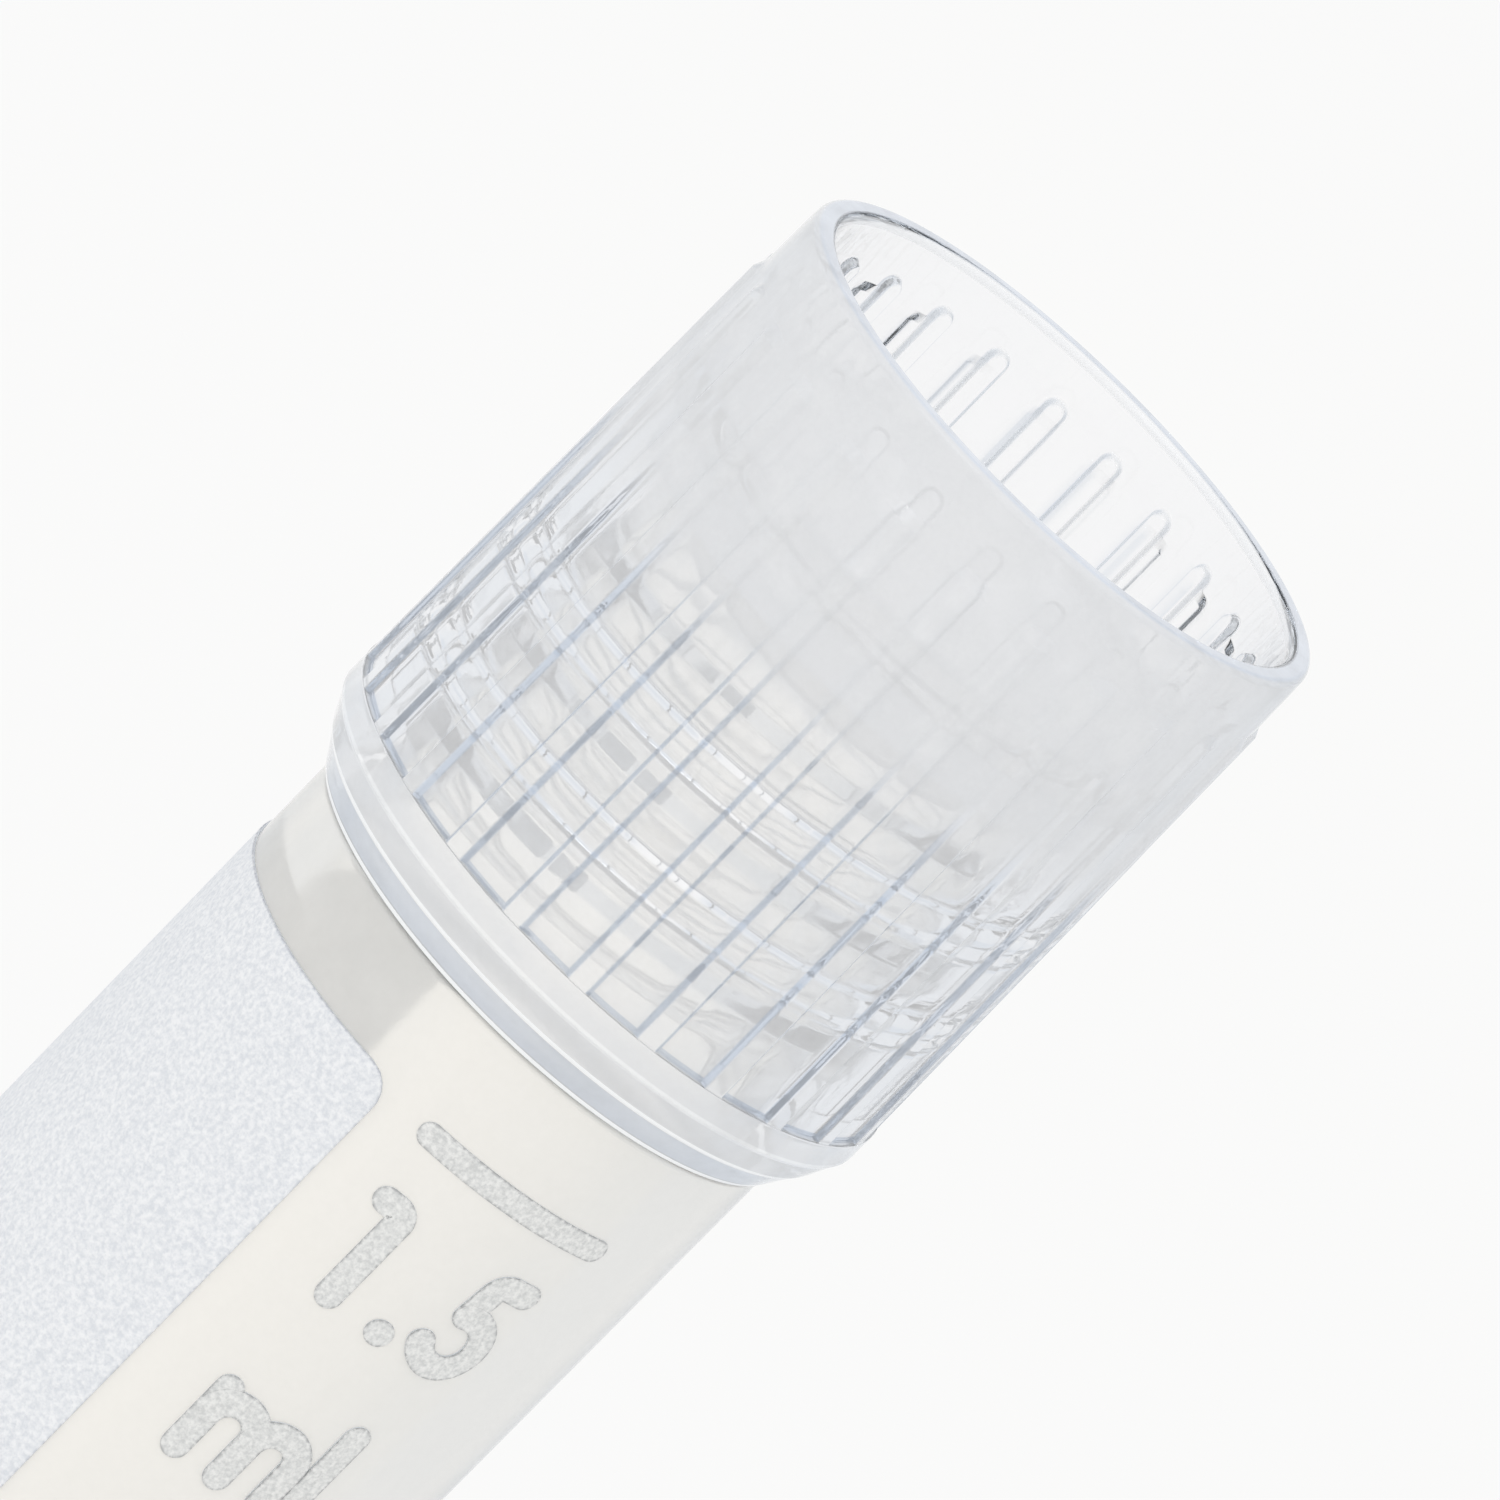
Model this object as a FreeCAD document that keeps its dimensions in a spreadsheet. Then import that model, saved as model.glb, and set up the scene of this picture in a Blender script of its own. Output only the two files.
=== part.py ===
"""A self-standing 2 ml cryogenic vial with an external thread and a recessed screw cap.

The vial stands on its skirt at z = 0 with its axis on +Z.  Lengths are millimetres and angles are degrees.
Every driving size is a plain number in the spreadsheet "Sizes"; the cells that start with "=" are worked out
from them.  Sketches, features and places are bound to the sheet by expressions.
"""

import FreeCAD, Part

import math
import os
import re

import Sketcher
from FreeCAD import Placement, Rotation, Vector

# Driving sizes: alias, value, meaning.
DRIVING_SIZES = [
    # The vial
    ("vial_height", 43.1, "mouth rim above the table"),
    ("body_radius", 5.42, "outside of the tube"),
    ("neck_length", 8.7, "shoulder up to the mouth rim"),
    ("shoulder_step", 0.67, "tube down to the neck between the threads"),
    ("neck_wall", 0.5, "wall of the neck at the mouth"),
    ("mouth_break", 0.12, "chamfer on both edges of the mouth rim"),
    ("core_draft", 0.15, "how much the bore narrows down to its cone, so that the core draws out"),
    ("well_floor", 3.1, "lowest point of the inside"),
    ("cone_height", 3.5, "height of the conical bottom"),
    ("cone_tip", 1.3, "radius of the flat at the tip of the cone"),
    ("bottom_wall", 1.3, "conical bottom, measured straight down"),
    ("edge_break", 0.12, "chamfer on the shoulder and on the foot"),
    ("skirt_wall", 0.8, "thickness of the standing skirt"),
    ("star_rib_count", 8, "ribs of the star under the bottom"),
    ("star_rib_width", 0.8, "thickness of a star rib"),
    ("star_rib_reach", 2.0, "inner end of a star rib from the axis"),
    ("star_rib_lift", 0.5, "underside of a star rib above the table"),
    # The threads
    ("thread_pitch", 2.2, "single-start right-hand thread"),
    ("thread_depth", 0.45, "height of both threads"),
    ("thread_bite", 0.06, "depth to which a thread or a rib is rooted in its wall"),
    ("thread_rise", 0.98, "middle of the neck thread above the shoulder, where it begins"),
    ("mouth_land", 0.82, "plain neck above the neck thread"),
    ("neck_thread_root", 1.04, "axial width of the neck thread at its root"),
    ("neck_thread_crest", 0.55, "axial width of the neck thread at its crest"),
    ("cap_thread_root", 0.95, "axial width of the cap thread at its root"),
    ("cap_thread_crest", 0.5, "axial width of the cap thread at its crest"),
    ("cap_thread_drop", 0.62, "mouth rim down to the upper end of the cap thread"),
    ("thread_radial_gap", 0.13, "crest to root, all round"),
    ("thread_flank_gap", 0.1, "between the flanks that carry the load"),
    # The sealing ring
    ("seal_thickness", 0.9, "soft ring between the mouth rim and the cap"),
    ("seal_overhang", 0.33, "mouth bore in to the bore of the soft ring"),
    ("seal_gap", 0.05, "between the soft ring and the walls of its seat"),
    # The cap
    ("lip_gap", 0.2, "shoulder up to the lip of the cap"),
    ("lip_wall", 0.22, "thickness of the lip"),
    ("lip_lead", 0.12, "lead-in chamfer inside the lip"),
    ("taper_length", 1.13, "tapered end between the lip and the ring"),
    ("ring_length", 0.56, "height of the plain ring under the grip ribs"),
    ("ring_height", 0.13, "how far the ring stands proud"),
    ("cap_wall", 0.83, "skirt of the cap between the grip ribs, at their bottom"),
    ("cap_draft", 0.13, "how much the skirt narrows up to the collar"),
    ("collar_length", 1.38, "plain band under the rim"),
    ("collar_draft", 0.03, "how much the collar narrows up to the rim"),
    ("rim_wall", 0.51, "wall at the rim"),
    ("rim_break", 0.12, "chamfer on both edges of the rim"),
    ("recess_depth", 3.2, "rim down to the floor of the recess"),
    ("recess_draft", 0.05, "how much the recess narrows down to its floor"),
    ("cap_floor", 0.8, "thickness of the floor of the recess"),
    ("rib_count", 24, "ribs round the cap, outside and inside"),
    ("grip_rib_angle", 4.6, "angle that one grip rib spans"),
    ("grip_height", 0.1, "how far a grip rib stands proud"),
    ("grip_ramp", 0.25, "run-out at the top of a grip rib"),
    ("key_rib_width", 0.42, "width of a rib inside the recess"),
    ("key_rib_height", 0.14, "how far a recess rib stands proud at the floor"),
    ("key_rib_drop", 0.95, "rim down to the round top of a recess rib"),
    ("plug_wall", 0.55, "thickness of the centring plug"),
    ("plug_reach", 0.8, "length of the plug below the mouth rim"),
    # The printed writing patch
    ("patch_thickness", 0.05, "thickness of the printed layer"),
    ("patch_angle", 159, "angle that the patch spans"),
    ("patch_turn", 180.2, "direction of the middle of the patch"),
    ("patch_drop", 2.0, "shoulder down to the top edge of the patch"),
    ("patch_length", 24.4, "height of the patch"),
    ("patch_corner", 0.6, "rounding of the corners of the patch"),
]

# Worked out from the driving sizes: alias, formula, meaning.
DERIVED_SIZES = [
    ("shoulder_height", "=vial_height - neck_length", "top of the full-width tube"),
    ("neck_radius", "=body_radius - shoulder_step", "outside of the neck between the threads"),
    ("mouth_radius", "=neck_radius - neck_wall", "bore at the mouth"),
    ("well_radius", "=mouth_radius - core_draft", "bore at the top of its cone"),
    ("cone_top", "=well_floor + cone_height", "where the conical bottom meets the bore"),
    ("cone_slope", "=cone_height / (well_radius - cone_tip)", "rise of the cone for each step outwards"),
    ("skirt_bore", "=body_radius - skirt_wall", "inside of the skirt"),
    ("hollow_top", "=well_floor - bottom_wall + cone_slope * (skirt_bore - cone_tip)",
     "where the underside of the cone meets the skirt"),
    ("star_rib_end", "=body_radius - skirt_wall / 2", "outer end of a star rib, inside the skirt"),
    ("neck_thread_start", "=shoulder_height + thread_rise", "middle of the neck thread's lower end"),
    ("neck_thread_end", "=vial_height - mouth_land - neck_thread_root / 2", "middle of its upper end"),
    ("neck_thread_turns", "=(neck_thread_end - neck_thread_start) / thread_pitch", "turns that it makes"),
    ("neck_thread_tip", "=neck_radius + thread_depth", "crest of the neck thread"),
    ("half_widths", "=(neck_thread_root + neck_thread_crest + cap_thread_root + cap_thread_crest) / 4",
     "half of both threads together, at half their depth"),
    ("cap_thread_start", "=neck_thread_start + thread_pitch - half_widths - thread_flank_gap",
     "middle of the cap thread's lower end, held from above by the neck thread"),
    ("cap_thread_end", "=vial_height - cap_thread_drop - cap_thread_root / 2", "middle of its upper end"),
    ("cap_thread_turns", "=(cap_thread_end - cap_thread_start) / thread_pitch", "turns that it makes"),
    ("cap_bore", "=neck_thread_tip + thread_radial_gap", "inside of the skirt of the cap"),
    ("cap_thread_tip", "=cap_bore - thread_depth", "crest of the cap thread"),
    ("seal_radius", "=cap_bore - seal_gap", "outside of the soft ring"),
    ("seal_bore", "=mouth_radius - seal_overhang", "inside of the soft ring"),
    ("plug_radius", "=seal_bore - seal_gap", "outside of the plug"),
    ("plug_bore", "=plug_radius - plug_wall", "inside of the plug"),
    ("plug_foot", "=vial_height - plug_reach", "lower end of the plug"),
    ("ceiling", "=vial_height + seal_thickness", "underside of the floor of the cap"),
    ("recess_floor", "=ceiling + cap_floor", "floor of the recess"),
    ("cap_top", "=recess_floor + recess_depth", "rim of the cap and top of the closed vial"),
    ("lip_height", "=shoulder_height + lip_gap", "lip of the cap"),
    ("ring_foot", "=lip_height + taper_length", "bottom of the plain ring"),
    ("grip_foot", "=ring_foot + ring_length", "bottom of the grip ribs"),
    ("collar_foot", "=cap_top - collar_length", "foot of the plain band"),
    ("lip_radius", "=cap_bore + lip_wall", "outside at the lip"),
    ("skirt_radius", "=cap_bore + cap_wall", "outside between the grip ribs, at their bottom"),
    ("ring_radius", "=skirt_radius + ring_height", "outside of the plain ring"),
    ("collar_radius", "=skirt_radius - cap_draft", "outside at the foot of the plain band"),
    ("rim_radius", "=collar_radius - collar_draft", "outside at the rim"),
    ("recess_radius", "=rim_radius - rim_wall", "recess at the rim"),
    ("recess_floor_radius", "=recess_radius - recess_draft", "recess at its floor"),
    ("key_rib_face", "=recess_floor_radius - key_rib_height", "inner face of a recess rib"),
    ("key_rib_spring", "=cap_top - key_rib_drop - key_rib_width / 2", "where its round top begins"),
    ("patch_radius", "=body_radius + patch_thickness", "outside of the printed patch"),
    ("patch_top", "=shoulder_height - patch_drop", "top edge of the patch"),
    ("patch_foot", "=patch_top - patch_length", "bottom edge of the patch"),
]

LENGTH_TOLERANCE = 1e-4

doc = FreeCAD.newDocument("Cryovial")
sheet = doc.addObject("Spreadsheet::Sheet", "Sizes")
for row, (alias, value, meaning) in enumerate(DRIVING_SIZES + DERIVED_SIZES, start=1):
    sheet.set(f"A{row}", alias)
    sheet.set(f"B{row}", str(value))
    sheet.set(f"C{row}", meaning)
    sheet.setAlias(f"B{row}", alias)
doc.recompute()


def size(formula):
    """Return the present value of a formula of aliases."""
    return float(sheet.evalExpression(formula))


def bind(target, prop, formula):
    """Bind a property or a constraint of an object to a formula of aliases."""
    target.setExpression(prop, re.sub(r"[a-z]\w*", r"Sizes.\g<0>", formula))


def new_body(label):
    """Make an empty body that carries the name of its node."""
    body = doc.addObject("PartDesign::Body", label)
    body.Label = label
    return body


def origin_part(body, role):
    """Return one of the body's own origin planes or axes."""
    return next(part for part in body.Origin.OriginFeatures if part.Role == role)


def new_sketch(body, name, role="XZ_Plane"):
    """Attach an empty sketch to one of the body's origin planes."""
    sketch = body.newObject("Sketcher::SketchObject", name)
    sketch.AttachmentSupport = [(origin_part(body, role), "")]
    sketch.MapMode = "FlatFace"
    return sketch


def place(corner):
    """Return the present place of an (across, up) corner of formulas, where 0 stands for an axis."""
    across, up = (0 if formula == 0 else size(formula) for formula in corner)
    return Vector(across, up, 0)


def fix(sketch, kind, formula, *places):
    """Add a dimension to a sketch, bound to the sheet."""
    index = sketch.addConstraint(Sketcher.Constraint(kind, *places, size(formula)))
    bind(sketch, f"Constraints[{index}]", formula)


def fix_end(sketch, edge, end, across=None, up=None):
    """Hold one end of an edge at its formulas: 0 puts it on an axis, and None leaves it free."""
    for formula, kind, axis in ((across, "DistanceX", -2), (up, "DistanceY", -1)):
        if formula == 0:
            sketch.addConstraint(Sketcher.Constraint("PointOnObject", edge, end, axis))
        elif formula is not None:
            fix(sketch, kind, formula, -1, 1, edge, end)


def draw_outline(sketch, corners):
    """Draw a closed outline of straight edges through (across, up) corners given as formulas."""
    points = [place(corner) for corner in corners]
    for start, end in zip(points, points[1:] + points[:1]):
        sketch.addGeometry(Part.LineSegment(start, end), False)
    for index, corner in enumerate(corners):
        before = (index - 1) % len(corners)
        sketch.addConstraint(Sketcher.Constraint("Coincident", before, 2, index, 1))
        fix_end(sketch, index, 1, *corner)


def draw_round_top(sketch, width, foot, spring):
    """Draw a strip about the upright axis from its foot to a half-round top that begins at spring."""
    half, low, high = size(width) / 2, size(foot), size(spring)
    circle = Part.Circle(Vector(0, high, 0), Vector(0, 0, 1), half)
    sketch.addGeometry(Part.ArcOfCircle(circle, 0, math.pi), False)
    corners = [Vector(-half, high, 0), Vector(-half, low, 0), Vector(half, low, 0), Vector(half, high, 0)]
    for start, end in zip(corners, corners[1:]):
        sketch.addGeometry(Part.LineSegment(start, end), False)
    for edge, end, other, start in ((0, 2, 1, 1), (1, 2, 2, 1), (2, 2, 3, 1), (3, 2, 0, 1)):
        sketch.addConstraint(Sketcher.Constraint("Coincident", edge, end, other, start))
    fix_end(sketch, 0, 3, across=0, up=spring)
    sketch.addConstraint(Sketcher.Constraint("Vertical", 1))
    sketch.addConstraint(Sketcher.Constraint("Vertical", 3))
    sketch.addConstraint(Sketcher.Constraint("Horizontal", 2))
    sketch.addConstraint(Sketcher.Constraint("Horizontal", 0, 1, 0, 3))
    sketch.addConstraint(Sketcher.Constraint("Horizontal", 0, 3, 0, 2))
    fix(sketch, "DistanceX", width, 2, 1, 2, 2)
    fix_end(sketch, 2, 1, up=foot)


def turn(body, name, sketch, kind="Revolution", angle="360"):
    """Revolve a sketch about the axis, evenly to both sides of the sketch."""
    feature = body.newObject(f"PartDesign::{kind}", name)
    feature.Profile = sketch
    feature.ReferenceAxis = (sketch, ["V_Axis"])
    feature.Midplane = True
    bind(feature, "Angle", angle)
    doc.recompute()
    return feature


def pad(body, name, sketch, length, midplane=False):
    """Extrude a sketch along its normal, or evenly to both sides of it."""
    feature = body.newObject("PartDesign::Pad", name)
    feature.Profile = sketch
    feature.Midplane = midplane
    bind(feature, "Length", length)
    doc.recompute()
    return feature


def spread(body, name, feature, count):
    """Repeat a feature evenly round the axis and make the pattern the tip of its body."""
    pattern = body.newObject("PartDesign::PolarPattern", name)
    pattern.Originals = [feature]
    pattern.Axis = (origin_part(body, "Z_Axis"), [""])
    pattern.Angle = 360
    bind(pattern, "Occurrences", count)
    body.Tip = pattern
    doc.recompute()


def wind(body, name, sketch, turns):
    """Carry the section of a thread up a right-hand helix about the axis."""
    helix = body.newObject("PartDesign::AdditiveHelix", name)
    helix.Profile = sketch
    helix.ReferenceAxis = (sketch, ["V_Axis"])
    helix.Mode = "pitch-turns-angle"
    bind(helix, "Pitch", "thread_pitch")
    bind(helix, "Turns", turns)
    doc.recompute()


def make_vial():
    """One moulding: star foot, conical-bottomed tube, shoulder and threaded neck."""
    body = new_body("vial_body")

    sketch = new_sketch(body, "tube_section")
    draw_outline(sketch, [
        (0, 0),
        ("body_radius - edge_break", 0),
        ("body_radius", "edge_break"),
        ("body_radius", "shoulder_height - edge_break"),
        ("body_radius - edge_break", "shoulder_height"),
        ("neck_radius", "shoulder_height"),
        ("neck_radius", "vial_height - mouth_break"),
        ("neck_radius - mouth_break", "vial_height"),
        (0, "vial_height"),
    ])
    turn(body, "tube", sketch)

    sketch = new_sketch(body, "well_section")
    draw_outline(sketch, [
        (0, "well_floor"),
        ("cone_tip", "well_floor"),
        ("well_radius", "cone_top"),
        ("mouth_radius", "vial_height - mouth_break"),
        ("mouth_radius + mouth_break", "vial_height"),
        (0, "vial_height"),
    ])
    turn(body, "well", sketch, "Groove")

    make_foot(body)

    sketch = new_sketch(body, "neck_thread_section")
    draw_thread(sketch, "neck_radius", "neck_radius - thread_bite", "neck_thread_tip",
                "neck_thread_start", "neck_thread_root", "neck_thread_crest")
    wind(body, "neck_thread", sketch, "neck_thread_turns")
    return body


def make_foot(body):
    """Hollow the foot up to the conical bottom and set the ribs of the star inside the skirt."""
    sketch = new_sketch(body, "foot_section")
    draw_outline(sketch, [
        (0, 0),
        ("skirt_bore", 0),
        ("skirt_bore", "hollow_top"),
        ("cone_tip", "well_floor - bottom_wall"),
        (0, "well_floor - bottom_wall"),
    ])
    turn(body, "foot_hollow", sketch, "Groove")

    # The top of a rib runs in the middle of the cone's wall, so that the rib is rooted all the way.
    rooted = "well_floor - bottom_wall / 2 + cone_slope * ({} - cone_tip)"
    sketch = new_sketch(body, "star_rib_section")
    draw_outline(sketch, [
        ("star_rib_reach", "star_rib_lift"),
        ("star_rib_end", "star_rib_lift"),
        ("star_rib_end", rooted.format("star_rib_end")),
        ("star_rib_reach", rooted.format("star_rib_reach")),
    ])
    rib = pad(body, "star_rib", sketch, "star_rib_width", midplane=True)
    spread(body, "star_ribs", rib, "star_rib_count")


def draw_thread(sketch, wall, root_end, tip, middle, root, crest):
    """Draw a thread's trapezium: as wide as root at the wall and in it, and as crest at the tip."""
    draw_outline(sketch, [
        (root_end, f"{middle} - {root} / 2"),
        (wall, f"{middle} - {root} / 2"),
        (tip, f"{middle} - {crest} / 2"),
        (tip, f"{middle} + {crest} / 2"),
        (wall, f"{middle} + {root} / 2"),
        (root_end, f"{middle} + {root} / 2"),
    ])


def make_cap():
    """One moulding: recessed top with key ribs, ribbed skirt, ring, tapered lip, plug and thread."""
    body = new_body("cap")

    sketch = new_sketch(body, "cap_outside_section")
    draw_outline(sketch, [
        (0, "lip_height"),
        ("lip_radius", "lip_height"),
        ("ring_radius", "ring_foot"),
        ("ring_radius", "grip_foot"),
        ("skirt_radius", "grip_foot"),
        ("collar_radius", "collar_foot"),
        ("rim_radius", "cap_top - rim_break"),
        ("rim_radius - rim_break", "cap_top"),
        (0, "cap_top"),
    ])
    turn(body, "cap_outside", sketch)

    sketch = new_sketch(body, "recess_section")
    draw_outline(sketch, [
        (0, "recess_floor"),
        ("recess_floor_radius", "recess_floor"),
        ("recess_radius", "cap_top - rim_break"),
        ("recess_radius + rim_break", "cap_top"),
        (0, "cap_top"),
    ])
    turn(body, "recess", sketch, "Groove")

    sketch = new_sketch(body, "underside_section")
    draw_outline(sketch, [
        (0, "lip_height"),
        ("cap_bore + lip_lead", "lip_height"),
        ("cap_bore", "lip_height + lip_lead"),
        ("cap_bore", "ceiling"),
        ("plug_radius", "ceiling"),
        ("plug_radius", "plug_foot"),
        ("plug_bore", "plug_foot"),
        ("plug_bore", "ceiling"),
        (0, "ceiling"),
    ])
    turn(body, "underside", sketch, "Groove")

    make_cap_ribs(body)

    sketch = new_sketch(body, "cap_thread_section")
    draw_thread(sketch, "cap_bore", "cap_bore + thread_bite", "cap_thread_tip",
                "cap_thread_start", "cap_thread_root", "cap_thread_crest")
    wind(body, "cap_thread", sketch, "cap_thread_turns")
    return body


def make_cap_ribs(body):
    """Set the grip ribs on the skirt and the key ribs, which hold a colour disc, in the recess."""
    sketch = new_sketch(body, "grip_rib_section")
    draw_outline(sketch, [
        ("skirt_radius - thread_bite", "grip_foot - thread_bite"),
        ("skirt_radius + grip_height", "grip_foot - thread_bite"),
        ("collar_radius + grip_height", "collar_foot - grip_ramp"),
        ("collar_radius", "collar_foot"),
        ("collar_radius - thread_bite", "collar_foot"),
    ])
    rib = turn(body, "grip_rib", sketch, angle="grip_rib_angle")
    spread(body, "grip_ribs", rib, "rib_count")

    sketch = new_sketch(body, "key_rib_section", "YZ_Plane")
    bind(sketch, "AttachmentOffset.Base.z", "key_rib_face")
    draw_round_top(sketch, "key_rib_width", "recess_floor - thread_bite", "key_rib_spring")
    rib = pad(body, "key_rib", sketch, "recess_radius - key_rib_face + thread_bite")
    spread(body, "key_ribs", rib, "rib_count")


def make_seal():
    """The soft ring round the plug, pressed on the mouth rim by the underside of the cap."""
    body = new_body("seal_ring")
    sketch = new_sketch(body, "seal_section")
    draw_outline(sketch, [
        ("seal_bore", "vial_height"),
        ("seal_radius", "vial_height"),
        ("seal_radius", "ceiling"),
        ("seal_bore", "ceiling"),
    ])
    turn(body, "seal", sketch)
    return body


def make_patch():
    """The opaque printed layer on the tube that is written on."""
    body = new_body("writing_patch")
    sketch = new_sketch(body, "patch_section")
    draw_outline(sketch, [
        ("body_radius", "patch_foot"),
        ("patch_radius", "patch_foot"),
        ("patch_radius", "patch_top"),
        ("body_radius", "patch_top"),
    ])
    layer = turn(body, "patch_layer", sketch, angle="patch_angle")

    thickness = size("patch_thickness")
    corners = [f"Edge{index}" for index, edge in enumerate(layer.Shape.Edges, start=1)
               if abs(edge.Length - thickness) < LENGTH_TOLERANCE]
    fillet = body.newObject("PartDesign::Fillet", "patch_corners")
    fillet.Base = (layer, corners)
    bind(fillet, "Radius", "patch_corner")

    body.Placement = Placement(Vector(0, 0, 0), Rotation(Vector(0, 0, 1), size("patch_turn")))
    bind(body, "Placement.Rotation.Angle", "patch_turn")
    return body


def check(parts):
    """Stop if any object failed to recompute, or if a sub-part isn't one valid solid."""
    for item in doc.Objects:
        if {"Invalid", "Error"} & set(item.State):
            raise RuntimeError(f"{item.Label} failed: {item.State}")
    for part in parts:
        shape = part.Shape
        if shape.isNull() or not shape.isValid() or len(shape.Solids) != 1:
            raise RuntimeError(f"{part.Label} isn't one valid solid")


parts = [make_vial(), make_cap(), make_seal(), make_patch()]
doc.recompute()
check(parts)
os.makedirs("parts", exist_ok=True)
for part in parts:
    part.Shape.exportStep(f"parts/{part.Label}.step")
    print(f"{part.Label}: {part.Shape.Volume:.1f} mm3")
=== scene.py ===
"""Finished surfaces of a self-standing cryogenic vial with a clear, ribbed, recessed screw cap.

Every piece is a closed surface worked out as whole numpy arrays.  Most are a section turned about the axis
of the vial, whose radius and height are functions of the angle where there are ribs, threads or a star foot.
The printed ones are flat marks laid round the tube.  Sizes in the classes are millimetres and degrees; meshes
are metres in the vial's own frame, standing on z = 0 with the axis on +Z.
"""

import logging
from dataclasses import dataclass, field
from enum import Enum

import bpy
import numpy as np
from mathutils import Matrix, Vector


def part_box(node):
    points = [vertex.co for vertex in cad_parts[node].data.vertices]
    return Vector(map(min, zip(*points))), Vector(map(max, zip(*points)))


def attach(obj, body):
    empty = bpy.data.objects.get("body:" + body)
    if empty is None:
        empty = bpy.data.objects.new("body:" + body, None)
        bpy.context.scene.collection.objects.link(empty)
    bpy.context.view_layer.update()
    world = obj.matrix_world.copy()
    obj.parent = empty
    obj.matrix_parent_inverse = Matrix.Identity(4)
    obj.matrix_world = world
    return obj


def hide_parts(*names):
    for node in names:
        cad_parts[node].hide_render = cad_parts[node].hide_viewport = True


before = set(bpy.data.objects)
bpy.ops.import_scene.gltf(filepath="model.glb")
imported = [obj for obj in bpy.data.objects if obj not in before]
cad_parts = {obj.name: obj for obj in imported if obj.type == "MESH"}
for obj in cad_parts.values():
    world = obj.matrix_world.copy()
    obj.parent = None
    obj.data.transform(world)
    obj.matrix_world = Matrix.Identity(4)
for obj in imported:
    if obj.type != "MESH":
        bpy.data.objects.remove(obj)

Array = np.ndarray
Links = dict[str, object]

LOG = logging.getLogger("cryovial")
MM = 0.001  # metres in a millimetre
TURN = 2.0 * np.pi
WELD = 1e-8  # points that are closer than this, in metres, are welded
HAIR = 0.004  # gap in millimetres that keeps the seal's faces off the faces they touch
BACK = -1.0  # inset that marks the back of a coat of ink


class Slot(Enum):
    """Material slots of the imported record."""

    TUBE = "milky_polypropylene"
    CAP = "clear_polypropylene"
    SEAL = "silicone"
    INK = "white_ink"


# ---------------------------------------------------------------------------------------------------------
# Curves and surfaces
# ---------------------------------------------------------------------------------------------------------


def smooth(share: Array) -> Array:
    """Ease from 0 to 1 as the share goes from 0 to 1: three squares less two cubes."""
    held = np.clip(share, 0.0, 1.0)
    return held * held * (3.0 - 2.0 * held)


def soft_clip(share: Array, blur: float) -> Array:
    """Clip to 0..1 with rounded corners.

    The clipped ramp is averaged over a window of twice the blur: the difference of its integral at the two
    ends of the window, over the window's width.

    Args:
        share: Values of the ramp.
        blur: Half the window, in the ramp's own unit.

    Returns:
        The rounded ramp.
    """
    def integral(x: Array) -> Array:
        """Area under the clipped ramp up to x."""
        inside = np.clip(x, 0.0, 1.0)
        return 0.5 * inside**2 + np.maximum(x - 1.0, 0.0)

    return (integral(share + blur) - integral(share - blur)) / (2.0 * blur)


def rounded_path(corners: list[tuple[float, float, float]], steps: int = 4, support: float = 0.02) -> Array:
    """Join corners by straight runs and replace each inner corner by an arc.

    An arc touches both runs at rounding * tan(turn / 2) from its corner.  A corner with no rounding stays
    sharp.  A support point beside each end of an arc keeps the long faces flat to the eye.

    Args:
        corners: Radius, height and rounding of each corner, in order, in millimetres.
        steps: Straight steps in an arc.
        support: Distance from an arc to its support points.

    Returns:
        Points of the path, one (radius, height) a row.
    """
    places = np.array([corner[:2] for corner in corners], float)
    points = [places[0]]
    for before, here, after, corner in zip(places[:-2], places[1:-1], places[2:], corners[1:-1]):
        into = (here - before) / np.linalg.norm(here - before)
        out = (after - here) / np.linalg.norm(after - here)
        cross = into[0] * out[1] - into[1] * out[0]
        turn = np.arctan2(cross, into @ out)
        if corner[2] <= 0.0:
            points += [here - into * support, here, here + out * support]
            continue
        start = here - into * corner[2] * np.tan(abs(turn) / 2.0)
        side = np.sign(turn) * np.array([-into[1], into[0]])
        angles = np.linspace(0.0, abs(turn), steps + 1)[:, None]
        arc = start + corner[2] * (np.sin(angles) * into + (1.0 - np.cos(angles)) * side)
        points += [start - into * support, *arc, arc[-1] + out * support]
    points.append(places[-1])
    return np.array(points)


def close_rows(low: float, high: float, step: float, *edges: float, near: float = 0.02) -> Array:
    """Heights from low to high, with close rows on both sides of each edge.

    Args:
        low: Lowest height.
        high: Highest height.
        step: Largest distance between rows.
        edges: Heights that the close rows stand beside.
        near: Distance of the close rows from their edge.

    Returns:
        The heights, rising.
    """
    even = np.linspace(low, high, max(2, int(np.ceil((high - low) / step)) + 1))
    beside = [edge + offset for edge in edges for offset in (-near, 0.0, near)]
    rows = np.unique(np.round(np.concatenate([even, beside]), 5))
    rows = rows[(rows >= low - 1e-9) & (rows <= high + 1e-9)]
    return rows[np.concatenate([[True], np.diff(rows) > near / 3.0])]


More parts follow.
